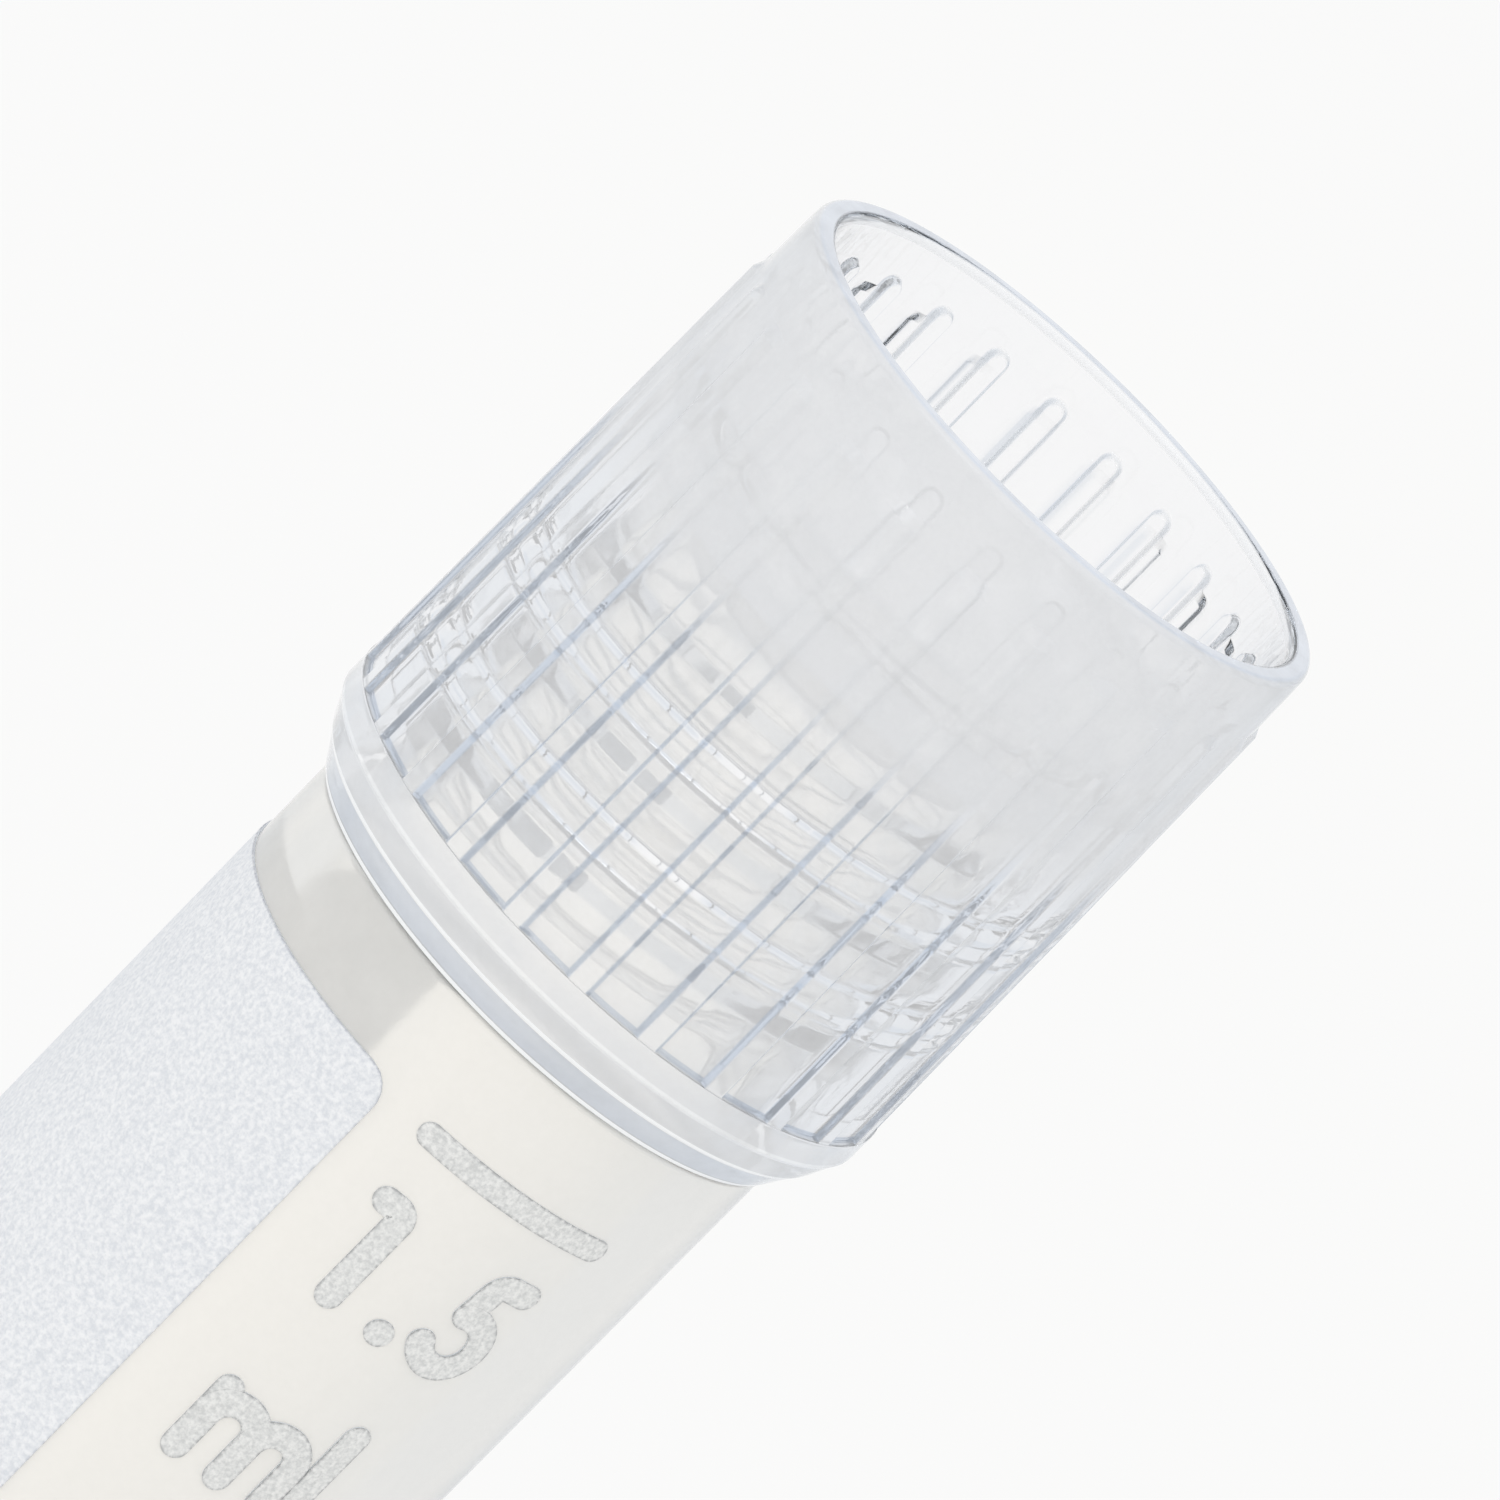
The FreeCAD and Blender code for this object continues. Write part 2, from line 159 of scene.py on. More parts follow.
@dataclass
class Lathe:
    """A closed surface in rows, each a ring of radius and height over the same angles.

    The rows run so that the material lies to their right: out from the axis, over the top and back under.
    The last angle repeats the first a full turn on, and equal points are welded at the end.  Each point has
    a share of painted light, which becomes the attribute groove: up to 1 where a painted shade darkens
    it, as in the side of a rib, and down to -1 where a painted highlight pales it, as on a moulded edge.

    Attributes:
        angles: Angles of the points of every row, in radians.
        rings: Radius, height and share of painted light of the rows added so far.
    """

    angles: Array
    rings: list[tuple[Array, Array, Array]] = field(default_factory=list)

    def add(self, radius: Array, height: Array, groove: Array | float = 0.0) -> None:
        """Append rows.

        Args:
            radius: Radii as an array that spreads to (rows, angles).
            height: Heights, likewise.
            groove: Shares of painted shade, negative for painted highlight, likewise.
        """
        rows = max(np.shape(radius)[0], np.shape(height)[0])
        shape = (rows, len(self.angles))
        self.rings.append(tuple(np.broadcast_to(part, shape) for part in (radius, height, groove)))

    def add_path(self, path: Array, groove: float = 0.0) -> None:
        """Append plain rings along a path of (radius, height) points."""
        self.add(path[:, :1], path[:, 1:], groove)

    def mesh(self, name: str) -> bpy.types.Mesh:
        """Turn the rows into a mesh: a point is (radius cos angle, radius sin angle, height).

        Args:
            name: Name of the mesh.

        Returns:
            The mesh.
        """
        radius, height, groove = (np.vstack(part) for part in zip(*self.rings))
        turn = self.angles % TURN
        points = np.stack([radius * np.cos(turn), radius * np.sin(turn), height], axis=-1)
        return grid_mesh(name, [points * MM], groove=[groove])


def grid_mesh(name: str, grids: list[Array], **marks: list[Array]) -> bpy.types.Mesh:
    """Make one smooth mesh of grids of points, with equal points welded and flat faces dropped.

    Each cell joins its four points in the order row, next row, next column, so that a grid whose rows run
    with the material on their right faces outwards.

    Args:
        name: Name of the mesh.
        grids: Arrays of points in metres, each (rows, columns, 3).
        marks: Values at the points of each grid, for each attribute of the mesh by its name.

    Returns:
        The mesh.
    """
    points, quads, first = [], [], 0
    for grid in grids:
        rows, columns = grid.shape[:2]
        index = first + np.arange(rows * columns).reshape(rows, columns)
        cells = [index[:-1, :-1], index[1:, :-1], index[1:, 1:], index[:-1, 1:]]
        quads.append(np.stack(cells, axis=-1).reshape(-1, 4))
        points.append(grid.reshape(-1, 3))
        first += rows * columns
    cloud = np.concatenate(points)
    keys = np.round(cloud / WELD).astype(np.int64)
    _, kept, place = np.unique(keys, axis=0, return_index=True, return_inverse=True)
    corners = place.reshape(-1)[np.concatenate(quads)]
    same = corners == np.roll(corners, -1, axis=1)
    whole = corners[same.sum(axis=1) == 0]
    single = same.sum(axis=1) == 1
    drop = np.argmax(same[single], axis=1)
    order = (drop[:, None] + np.arange(1, 4)) % 4
    thirds = np.take_along_axis(corners[single], order, axis=1)
    mesh = bpy.data.meshes.new(name)
    mesh.from_pydata(cloud[kept].tolist(), [], whole.tolist() + thirds.tolist())
    mesh.shade_smooth()
    for mark, parts in marks.items():
        values = np.concatenate([part.ravel() for part in parts])[kept]
        mesh.attributes.new(mark, "FLOAT", "POINT").data.foreach_set("value", values.astype(np.float32))
    return mesh


def new_piece(mesh: bpy.types.Mesh, body: str, slot: Slot, material: bpy.types.Material,
              *nodes: str) -> bpy.types.Object:
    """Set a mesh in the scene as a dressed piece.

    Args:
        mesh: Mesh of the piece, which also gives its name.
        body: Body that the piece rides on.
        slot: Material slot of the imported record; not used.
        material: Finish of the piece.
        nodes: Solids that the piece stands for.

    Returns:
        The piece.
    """
    piece = bpy.data.objects.new(mesh.name, mesh)
    bpy.context.scene.collection.objects.link(piece)
    mesh.materials.append(material)
    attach(piece, body)
    if nodes:
        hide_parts(*nodes)
    triangles = sum(len(face.vertices) - 2 for face in mesh.polygons)
    LOG.info("%s rides on %s, %d triangles", piece.name, body, triangles)
    return piece


@dataclass(frozen=True)
class Thread:
    """One right-hand thread of trapezium section, as a height over a wall.

    Attributes:
        start: Height of its middle where it begins, at angle 0.
        turns: Turns that it makes.
        pitch: Rise for each turn.
        depth: Height over the wall.
        root: Axial width at the wall.
        crest: Axial width at the tip.
        run_out: Angle over which it fades at each end.
        blur: Rounding of its corners, as a share of a flank.
    """

    start: float
    turns: float
    pitch: float = 2.2
    depth: float = 0.45
    root: float = 1.04
    crest: float = 0.55
    run_out: float = 9.0
    blur: float = 0.16

    def place(self, angles: Array, heights: Array) -> tuple[Array, Array]:
        """Axial distance over the middle of the nearest coil, and how much of the thread the run-outs leave.

        The nearest coil is the whole number of turns nearest to the rise over the pitch less the angle's
        share of a turn.

        Args:
            angles: Angles in radians.
            heights: Heights in millimetres.

        Returns:
            Distance in millimetres, positive above the middle, and the share.
        """
        coil = np.round((heights - self.start) / self.pitch - angles / TURN)
        along = angles + TURN * coil
        fade = np.radians(self.run_out)
        ends = smooth(along / fade) * smooth((TURN * self.turns - along) / fade)
        return heights - self.start - self.pitch * along / TURN, ends

    def height(self, angles: Array, heights: Array) -> Array:
        """Height over the wall: a rounded ramp of the axial distance, faded at both ends of the thread.

        Args:
            angles: Angles in radians.
            heights: Heights in millimetres.

        Returns:
            Heights over the wall, in millimetres.
        """
        axial, ends = self.place(angles, heights)
        section = soft_clip((self.root / 2.0 - np.abs(axial)) / self.flank, self.blur)
        return self.depth * section * ends

    def upper_side(self, angles: Array, heights: Array) -> Array:
        """Share of the upper flank: a flat-topped tent over its width, faded at both ends of the thread.

        Args:
            angles: Angles in radians.
            heights: Heights in millimetres.

        Returns:
            Shares from 0 to 1.
        """
        axial, ends = self.place(angles, heights)
        ramp = (self.root / 2.0 - axial) / self.flank
        return np.clip(2.0 - 4.0 * np.abs(ramp - 0.5), 0.0, 1.0) * ends

    @property
    def flank(self) -> float:
        """Axial width of one flank."""
        return (self.root - self.crest) / 2.0

    def rows(self, angles: Array, foot: float, top: float) -> Array:
        """Rows of heights that climb with the thread between two level rings.

        Over every pitch the rows stand at the same shares, close at the corners of the thread.  A wedge of
        rows that opens from nothing to one pitch fills the space under the climbing rows, and one that closes
        fills the space over them.  What would pass the top stays on it.

        Args:
            angles: Angles from 0 to a full turn, in radians.
            foot: Height of the lower ring, less than half a pitch under the thread's first middle.
            top: Height of the upper ring.

        Returns:
            Heights as (rows, angles).
        """
        ramp = np.array([-self.blur, 0.0, self.blur, 1.0 - self.blur, 1.0, 1.0 + self.blur])
        offsets = self.root / 2.0 - ramp * self.flank
        offsets = np.concatenate([-offsets, [0.0], offsets[::-1]])
        middle = (self.start - foot) / self.pitch
        shares = np.concatenate([[0.0], middle + offsets / self.pitch])
        gap = 1.0 - shares[-1]
        shares = np.concatenate([shares, [1.0 - 0.6 * gap, 1.0 - 0.2 * gap]])
        share = angles / TURN
        coils = int(np.ceil(self.turns))
        wedge = np.outer(shares, share)
        climbing = np.add.outer(np.arange(coils), shares).reshape(-1, 1) + share
        closing = coils + share + np.outer(shares, 1.0 - share)
        level = np.full((1, len(angles)), coils + 1.0)
        return np.minimum(foot + self.pitch * np.vstack([wedge, climbing, closing, level]), top)


# ---------------------------------------------------------------------------------------------------------
# Finishes
# ---------------------------------------------------------------------------------------------------------


def linear(code: str) -> tuple[float, float, float, float]:
    """Turn an sRGB hex colour into linear red, green, blue and alpha.

    Args:
        code: Colour as a hash sign and six hex digits.

    Returns:
        The four values.
    """
    shares = np.array([int(code[place:place + 2], 16) / 255.0 for place in (1, 3, 5)])
    values = np.where(shares <= 0.04045, shares / 12.92, ((shares + 0.055) / 1.055) ** 2.4)
    return (*values.tolist(), 1.0)


def add_node(tree: bpy.types.NodeTree, kind: str, inputs: Links | None = None,
             **settings: object) -> bpy.types.Node:
    """Add a node, set its properties, and set or link its inputs.

    Args:
        tree: Node tree.
        kind: Type name of the node.
        inputs: Value or output socket for each input, by name or by place.
        settings: Properties of the node.

    Returns:
        The node.
    """
    node = tree.nodes.new(kind)
    for name, value in settings.items():
        setattr(node, name, value)
    for name, value in (inputs or {}).items():
        socket = node.inputs[name]
        if isinstance(value, bpy.types.NodeSocket):
            tree.links.new(value, socket)
        else:
            socket.default_value = value
    return node


def new_material(name: str) -> bpy.types.Material:
    """Make a material with an empty node tree.

    Args:
        name: Name of the material.

    Returns:
        The material.
    """
    material = bpy.data.materials.new(name)
    material.use_nodes = True
    material.node_tree.nodes.clear()
    return material


@dataclass(frozen=True)
class Polypropylene:
    """Injection-moulded polypropylene, unfilled: clear in thin walls, with a pale haze on its textured faces.

    The veil is drawn, not worked out from scattering: a share of light thrown straight back from the outer
    faces, set by the height, which stands for their texture and for what lies behind them.  Light that comes
    from within doesn't meet it.  Slow flow marks, with finer grain in them, break every reflection a little
    and make the veil uneven.  Where the mesh marks it, a painted shade darkens the sides of ribs and threads,
    and a pale painted highlight whitens moulded edges; both stand in for light bent at the plastic's edges
    and stay on the piece.

    Attributes:
        name: Name of the material.
        colour: Colour of the plastic.
        veil_colour: Colour of the light that the texture throws back.
        roughness: Roughness of the faces.
        ior: Index of refraction, chosen below the plastic's own, which is about 1.49.
        veil: Share of light that the outer faces throw back, low down.
        veil_top: The same share high up.
        rise_mm: Heights between which the veil changes from the one to the other.
        veil_from_mm: Distance from the axis where the textured outer faces begin.
        core_mm: Distance from the axis within which faces are textured as well.
        foot_mm: Heights between which the added veil of the foot fades out.
        veil_foot: Share added to the veil at the foot.
        groove: Colour of the painted shade on the sides of ribs and threads, where the mesh marks it.
        painted_highlight: Colour of the painted highlight on moulded edges, nearly white, where the mesh
            marks it.
        uneven: How much the flow marks change the veil, as a share of it.
        flow_mm: Size of the flow marks.
        flow_depth: Strength of the flow marks.
        flow_range: Values of the flow pattern between which the veil goes from its least to its most.
        texture_fade_mm: Distance over which the textured outer faces begin.
    """

    name: str
    colour: str
    veil_colour: str
    roughness: float
    ior: float
    veil: float
    veil_top: float
    rise_mm: tuple[float, float]
    veil_from_mm: float
    core_mm: float = 0.0
    foot_mm: tuple[float, float] = (0.0, 1.0)
    veil_foot: float = 0.0
    groove: str = "#D6DDE8"
    painted_highlight: str = "#FBFCFD"
    uneven: float = 0.3
    flow_mm: float = 1.2
    flow_depth: float = 0.1
    flow_range: tuple[float, float] = (0.3, 0.7)
    texture_fade_mm: float = 0.06

    def material(self) -> bpy.types.Material:
        """Build the node tree.

        The painted shade is laid on where the mesh's share is over nothing, and the painted highlight where
        it is under nothing.  The shading takes the texture's own colour where the veil is thick.

        Returns:
            The material.
        """
        material = new_material(self.name)
        tree = material.node_tree
        place = add_node(tree, "ShaderNodeTexCoord").outputs["Object"]
        flow = add_node(tree, "ShaderNodeTexNoise", {"Vector": place, "Scale": 1.0 / (self.flow_mm * MM),
                                                     "Detail": 4.0, "Roughness": 0.6})
        wavy = add_node(tree, "ShaderNodeBump", {"Height": flow.outputs["Fac"], "Strength": self.flow_depth,
                                                 "Distance": self.flow_mm * MM * 0.1})
        within = add_node(tree, "ShaderNodeNewGeometry").outputs["Backfacing"]
        front = add_node(tree, "ShaderNodeMath", {0: 1.0, 1: within}, operation="SUBTRACT").outputs[0]
        # Share of painted light that the mesh carries: painted shade over nothing, painted highlight under
        # it.
        mark = add_node(tree, "ShaderNodeAttribute", attribute_name="groove").outputs["Fac"]
        groove = add_node(tree, "ShaderNodeMath", {0: mark, 1: front}, operation="MULTIPLY").outputs[0]
        painted_highlight = add_node(tree, "ShaderNodeMath", {0: mark, 1: -1.0}, operation="MULTIPLY", use_clamp=True)
        veil = add_node(tree, "ShaderNodeMath", {0: self.veiled(tree, place, flow.outputs["Fac"], front),
                                                 1: painted_highlight.outputs[0]}, operation="MAXIMUM").outputs[0]
        cloudy = add_node(tree, "ShaderNodeMapRange", {"Value": veil, "From Min": self.veil_top / 2.0,
                                                       "From Max": max(self.veil, self.veil_top)})
        milky = add_node(tree, "ShaderNodeMix", {"Factor": cloudy.outputs["Result"], 6: linear(self.colour),
                                                 7: linear(self.veil_colour)}, data_type="RGBA")
        white = add_node(tree, "ShaderNodeMix", {"Factor": painted_highlight.outputs[0], 6: milky.outputs[2],
                                                 7: linear(self.painted_highlight)}, data_type="RGBA")
        colour = add_node(tree, "ShaderNodeMix", {"Factor": groove, 6: white.outputs[2],
                                                  7: linear(self.groove)}, data_type="RGBA")
        clear = add_node(tree, "ShaderNodeMath", {0: 1.0, 1: veil}, operation="SUBTRACT", use_clamp=True)
        surface = add_node(tree, "ShaderNodeBsdfPrincipled",
                           {"Base Color": colour.outputs[2], "Roughness": self.roughness, "IOR": self.ior,
                            "Transmission Weight": clear.outputs[0],
                            "Normal": wavy.outputs["Normal"]}, distribution="GGX")
        add_node(tree, "ShaderNodeOutputMaterial", {"Surface": surface.outputs["BSDF"]})
        return material

    def veiled(self, tree: bpy.types.NodeTree, place: bpy.types.NodeSocket, flow: bpy.types.NodeSocket,
               front: bpy.types.NodeSocket) -> bpy.types.NodeSocket:
        """Share of light that the veil takes.

        It goes with the height from the low share to the high one, where the distance from the axis is that
        of the textured faces, times one plus or minus the flow marks' share.  It is nothing on the inner side
        of a face.

        Args:
            tree: Node tree.
            place: Place on the piece.
            flow: Flow marks, about one half on average.
            front: One where the light meets a face from outside and nothing where it comes from within.

        Returns:
            The share.
        """
        height = add_node(tree, "ShaderNodeSeparateXYZ", {0: place}).outputs[2]
        level = add_node(tree, "ShaderNodeVectorMath", {0: place, 1: (1.0, 1.0, 0.0)}, operation="MULTIPLY")
        away = add_node(tree, "ShaderNodeVectorMath", {0: level.outputs[0]}, operation="LENGTH")
        rise = add_node(tree, "ShaderNodeMapRange",
                        {"Value": height, "From Min": self.rise_mm[0] * MM, "From Max": self.rise_mm[1] * MM,
                         "To Min": self.veil, "To Max": self.veil_top}, interpolation_type="SMOOTHSTEP")
        foot = add_node(tree, "ShaderNodeMapRange",
                        {"Value": height, "From Min": self.foot_mm[0] * MM, "From Max": self.foot_mm[1] * MM,
                         "To Min": self.veil_foot, "To Max": 0.0})
        whole = add_node(tree, "ShaderNodeMath", {0: rise.outputs["Result"], 1: foot.outputs["Result"]})
        outer = add_node(tree, "ShaderNodeMapRange",
                         {"Value": away.outputs["Value"], "From Min": self.veil_from_mm * MM,
                          "From Max": (self.veil_from_mm + self.texture_fade_mm) * MM})
        core = add_node(tree, "ShaderNodeMath", {0: away.outputs["Value"], 1: self.core_mm * MM},
                        operation="LESS_THAN")
        textured = add_node(tree, "ShaderNodeMath", {0: outer.outputs["Result"], 1: core.outputs[0]},
                            operation="MAXIMUM")
        least, most = self.flow_range
        patchy = add_node(tree, "ShaderNodeMapRange",
                          {"Value": flow, "From Min": least, "From Max": most,
                           "To Min": 1.0 - self.uneven, "To Max": 1.0 + self.uneven})
        veil = whole.outputs[0]
        for share in (textured.outputs[0], patchy.outputs["Result"], front):
            veil = add_node(tree, "ShaderNodeMath", {0: veil, 1: share}, operation="MULTIPLY").outputs[0]
        return veil


@dataclass(frozen=True)
class Silicone:
    """Silicone, pressed: drawn as a soft white rubber that shines little and lets no light through.

    Attributes:
        name: Name of the material.
        colour: Colour of the rubber.
        roughness: Roughness of its face.
        ior: Index of refraction.
        grain_mm: Size of the grain.
        grain_depth: Strength of the grain.
        grain_relief: Height of the grain, as a share of its size.
    """

    name: str
    colour: str
    roughness: float = 0.4
    ior: float = 1.41
    grain_mm: float = 0.2
    grain_depth: float = 0.15
    grain_relief: float = 0.2

    def material(self) -> bpy.types.Material:
        """Build the node tree.

        Returns:
            The material.
        """
        material = new_material(self.name)
        tree = material.node_tree
        place = add_node(tree, "ShaderNodeTexCoord").outputs["Object"]
        grain = add_node(tree, "ShaderNodeTexNoise", {"Vector": place, "Scale": 1.0 / (self.grain_mm * MM)})
        relief = add_node(tree, "ShaderNodeBump",
                          {"Height": grain.outputs["Fac"], "Strength": self.grain_depth,
                           "Distance": self.grain_relief * self.grain_mm * MM})
        surface = add_node(tree, "ShaderNodeBsdfPrincipled",
                           {"Base Color": linear(self.colour), "Roughness": self.roughness, "IOR": self.ior,
                            "Normal": relief.outputs["Normal"]})
        add_node(tree, "ShaderNodeOutputMaterial", {"Surface": surface.outputs["BSDF"]})
        return material


@dataclass(frozen=True)
class Ink:
    """Printed opaque ink with a fine stipple that takes a pencil, and a thin broken painted shade at its
    edge.

    Attributes:
        name: Name of the material.
        colour: Colour of the high spots.
        shade: Colour of the low spots, the grain's own tone with a painted shade in its hollows.
        rim: Colour of the line along the edge, a painted shade for the light that the coat's edge bends away.
        back: Colour of the back, a pale bluish white: painted light for the light that soaks through the
            coat.
        rim_mm: Width of that line.
        roughness: Roughness of the dry ink.
        stipple_mm: Size of the stipple.
        depth: Strength of the stipple.
        relief: Height of the stipple, as a share of its size.
        spot_range: Values of the stipple between which the colour goes from low spots to high ones.
        dash_range: Values of the stipple between which the line goes from whole to faint.
        faint: Strength of the line where it is faint.
    """

    name: str
    colour: str
    shade: str
    rim: str
    back: str = "#F4F9FF"
    rim_mm: float = 0.05
    roughness: float = 0.6
    stipple_mm: float = 0.16
    depth: float = 0.5
    relief: float = 0.25
    spot_range: tuple[float, float] = (0.35, 0.65)
    dash_range: tuple[float, float] = (0.42, 0.58)
    faint: float = 0.25

    def material(self) -> bpy.types.Material:
        """Build the node tree.

        The painted shade along the edge falls evenly with the distance from the edge that the piece carries
        as its inset.  On the back of the coat, which shows through the wall, the inset is negative and the
        ink is a plain pale white, painted light for the light that soaks through the thin coat.

        Returns:
            The material.
        """
        material = new_material(self.name)
        tree = material.node_tree
        place = add_node(tree, "ShaderNodeTexCoord").outputs["Object"]
        inset = add_node(tree, "ShaderNodeAttribute", attribute_name="inset").outputs["Fac"]
        stipple = add_node(tree, "ShaderNodeTexNoise",
                           {"Vector": place, "Scale": 1.0 / (self.stipple_mm * MM), "Detail": 3.0,
                            "Roughness": 0.6})
        # The grain's low spots are drawn darker: its own tone and a painted shade in its hollows.
        spots = add_node(tree, "ShaderNodeMapRange",
                         {"Value": stipple.outputs["Fac"], "From Min": self.spot_range[0],
                          "From Max": self.spot_range[1]})
        colour = add_node(tree, "ShaderNodeMix", {"Factor": spots.outputs[0], 6: linear(self.shade),
                                                  7: linear(self.colour)}, data_type="RGBA")
        # A thin broken line of painted shade along the edge.
        edge = add_node(tree, "ShaderNodeMapRange",
                        {"Value": inset, "From Min": self.rim_mm, "From Max": 0.0})
        broken = add_node(tree, "ShaderNodeMapRange",
                          {"Value": stipple.outputs["Fac"], "From Min": self.dash_range[0],
                           "From Max": self.dash_range[1], "To Min": 1.0, "To Max": self.faint})
        dashes = add_node(tree, "ShaderNodeMath", {0: edge.outputs[0], 1: broken.outputs[0]},
                          operation="MULTIPLY")
        lined = add_node(tree, "ShaderNodeMix", {"Factor": dashes.outputs[0], 6: colour.outputs[2],
                                                 7: linear(self.rim)}, data_type="RGBA")
        # The back of the coat is painted pale, for the light that soaks through it.
        back = add_node(tree, "ShaderNodeMath", {0: inset, 1: BACK / 2.0}, operation="LESS_THAN")
        coat = add_node(tree, "ShaderNodeMix", {"Factor": back.outputs[0], 6: lined.outputs[2],
                                                7: linear(self.back)}, data_type="RGBA")
        relief = add_node(tree, "ShaderNodeBump", {"Height": stipple.outputs["Fac"], "Strength": self.depth,
                                                   "Distance": self.relief * self.stipple_mm * MM})
        surface = add_node(tree, "ShaderNodeBsdfPrincipled",
                           {"Base Color": coat.outputs[2], "Roughness": self.roughness,
                            "Normal": relief.outputs["Normal"]})
        add_node(tree, "ShaderNodeOutputMaterial", {"Surface": surface.outputs["BSDF"]})
        return material


# ---------------------------------------------------------------------------------------------------------
# The pieces
# ---------------------------------------------------------------------------------------------------------


def box_mm(node: str) -> tuple[Array, Array]:
    """Lowest and highest corner of a CAD node, in millimetres."""
    low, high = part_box(node)
    return np.array(low) / MM, np.array(high) / MM


@dataclass
class ScrewCap:
    """The clear cap: recess with key ribs, ribbed skirt, plain ring, tapered lip, plug and inner thread.

    Attributes:
        top: Height of the rim.
        lip: Height of the solid's lower end.
        ring_radius: Radius of the plain ring.
        ceiling: Height of the underside of the recess's floor.
        floor: Thickness of that floor.
        ribs: Number of grip ribs outside, and of key ribs inside.
        rib_angle: Angle that a grip rib takes, in degrees.
        rib_side: Half the angle that each of its sides takes.
        rib_fade: How much that half angle grows towards the milky upper part.
        grip_height: How far a grip rib stands proud.
        grip_ramp: Length over which it runs out under the collar.
        ring_height: How far the plain ring stands proud of the skirt.
        ring_length: Length of the plain ring.
        taper: Length of the taper between the ring and the lower end.
        draft: How much narrower the skirt is at its upper end than at its foot.
        collar: Length of the collar.
        collar_draft: How much wider the collar is at its foot than at the rim.
        rim_wall: Thickness of the wall at the rim.
        rim_round: Rounding of the rim's two edges.
        recess_draft: How much wider the recess is at the rim than at its floor.
        recess_corner: Rounding between the recess's floor and its wall.
        key_height: How far a key rib stands in from the wall at the floor.
        key_width: Width of a key rib.
        key_side: Half the width of each of its sides.
        key_drop: Distance of its top from the rim.
        bore: Inner radius of the skirt.
        lip_wall: Thickness of the wall at the lip.
        lip_lead: Size of the lip's inner chamfer.
        lip_drop: How much lower than the solid's the lip is drawn, which narrows the gap over the shoulder.
        shelf: Height over the solid's lip of the narrow shelf in the taper.
        shelf_in: How far inside the ring's radius that shelf lies.
        plug: Outer radius of the plug.
        plug_wall: Thickness of the plug.
        plug_foot: Height of the lower end of the plug.
        plug_round: Rounding of the plug's lower edges.
        plug_root: Rounding between the plug's inner side and the ceiling.
        milky: Height where the milky upper part begins.
        milky_half: Half the height over which it begins.
        valley: Angle from the middle of a rib to the last column before the middle of the valley.
        valley_foot: Height of the foot of a valley, which carries a painted shade.
        wall_step: Largest distance between rows on the wall of the recess.
        brow_step: The same over the key ribs.
        skirt_step: The same on the skirt.
        floor_share: Share on the recess's floor, negative for a painted highlight that pales it.
        key_share: Share on the key ribs' sides, negative: pale painted lines for the light bent there.
        rim_painted_highlight: Share on the rim's inner edge, negative for a painted highlight.
        rim_painted_shade: Share on the rim's flat top, positive for a painted shade.
        rim_bright: Distance from the rim's edges within which the flat top's share doesn't reach.
        rim_band: Distance from the rim's edges where it is full.
        ring_share: Share on the ring's lower edge, negative for a painted highlight.
        taper_share: Share on the taper under the shelf, positive for a painted shade.
        lip_share: Share on the shelf and the lip, negative for a painted highlight.
        thread_share: Share of painted shade on the thread's upper side.
        thread_foot: Distance under the thread at which its rows begin.
        thread: The thread in the bore.
    """

    top: float
    lip: float
    ring_radius: float
    ceiling: float
    floor: float = 0.8
    ribs: int = 24
    rib_angle: float = 4.6
    rib_side: float = 0.6
    rib_fade: float = 1.1
    grip_height: float = 0.12
    grip_ramp: float = 0.25
    ring_height: float = 0.13
    ring_length: float = 0.56
    taper: float = 1.13
    draft: float = 0.13
    collar: float = 1.38
    collar_draft: float = 0.03
    rim_wall: float = 0.51
    rim_round: float = 0.17
    recess_draft: float = 0.05
    recess_corner: float = 0.1
    key_height: float = 0.14
    key_width: float = 0.42
    key_side: float = 0.055
    key_drop: float = 0.95
    bore: float = 5.33
    lip_wall: float = 0.22
    lip_lead: float = 0.12
    lip_drop: float = 0.15
    shelf: float = 0.5
    shelf_in: float = 0.32
    plug: float = 3.87
    plug_wall: float = 0.55
    plug_foot: float = 42.3
    plug_round: float = 0.12
    plug_root: float = 0.1
    milky: float = 43.4
    milky_half: float = 1.0
    valley: float = 5.0
    valley_foot: float = 0.1
    wall_step: float = 0.6
    brow_step: float = 0.35
    skirt_step: float = 1.2
    floor_share: float = -0.72
    key_share: float = -0.6
    rim_painted_highlight: float = -0.5
    rim_painted_shade: float = 0.8
    rim_bright: float = 0.05
    rim_band: float = 0.1
    ring_share: float = -0.7
    taper_share: float = 0.6
    lip_share: float = -1.0
    thread_share: float = 0.7
    thread_foot: float = 0.12
    thread: Thread = Thread(start=36.7175, turns=2.4042, root=0.95, crest=0.5, blur=0.3)

    @property
    def skirt(self) -> float:
        """Radius between the grip ribs at their foot."""
        return self.ring_radius - self.ring_height

    @property
    def rim(self) -> float:
        """Outer radius of the rim."""
        return self.skirt - self.draft - self.collar_draft

    @property
    def grip_foot(self) -> float:
        """Height of the lower end of the grip ribs."""
        return self.lip + self.taper + self.ring_length

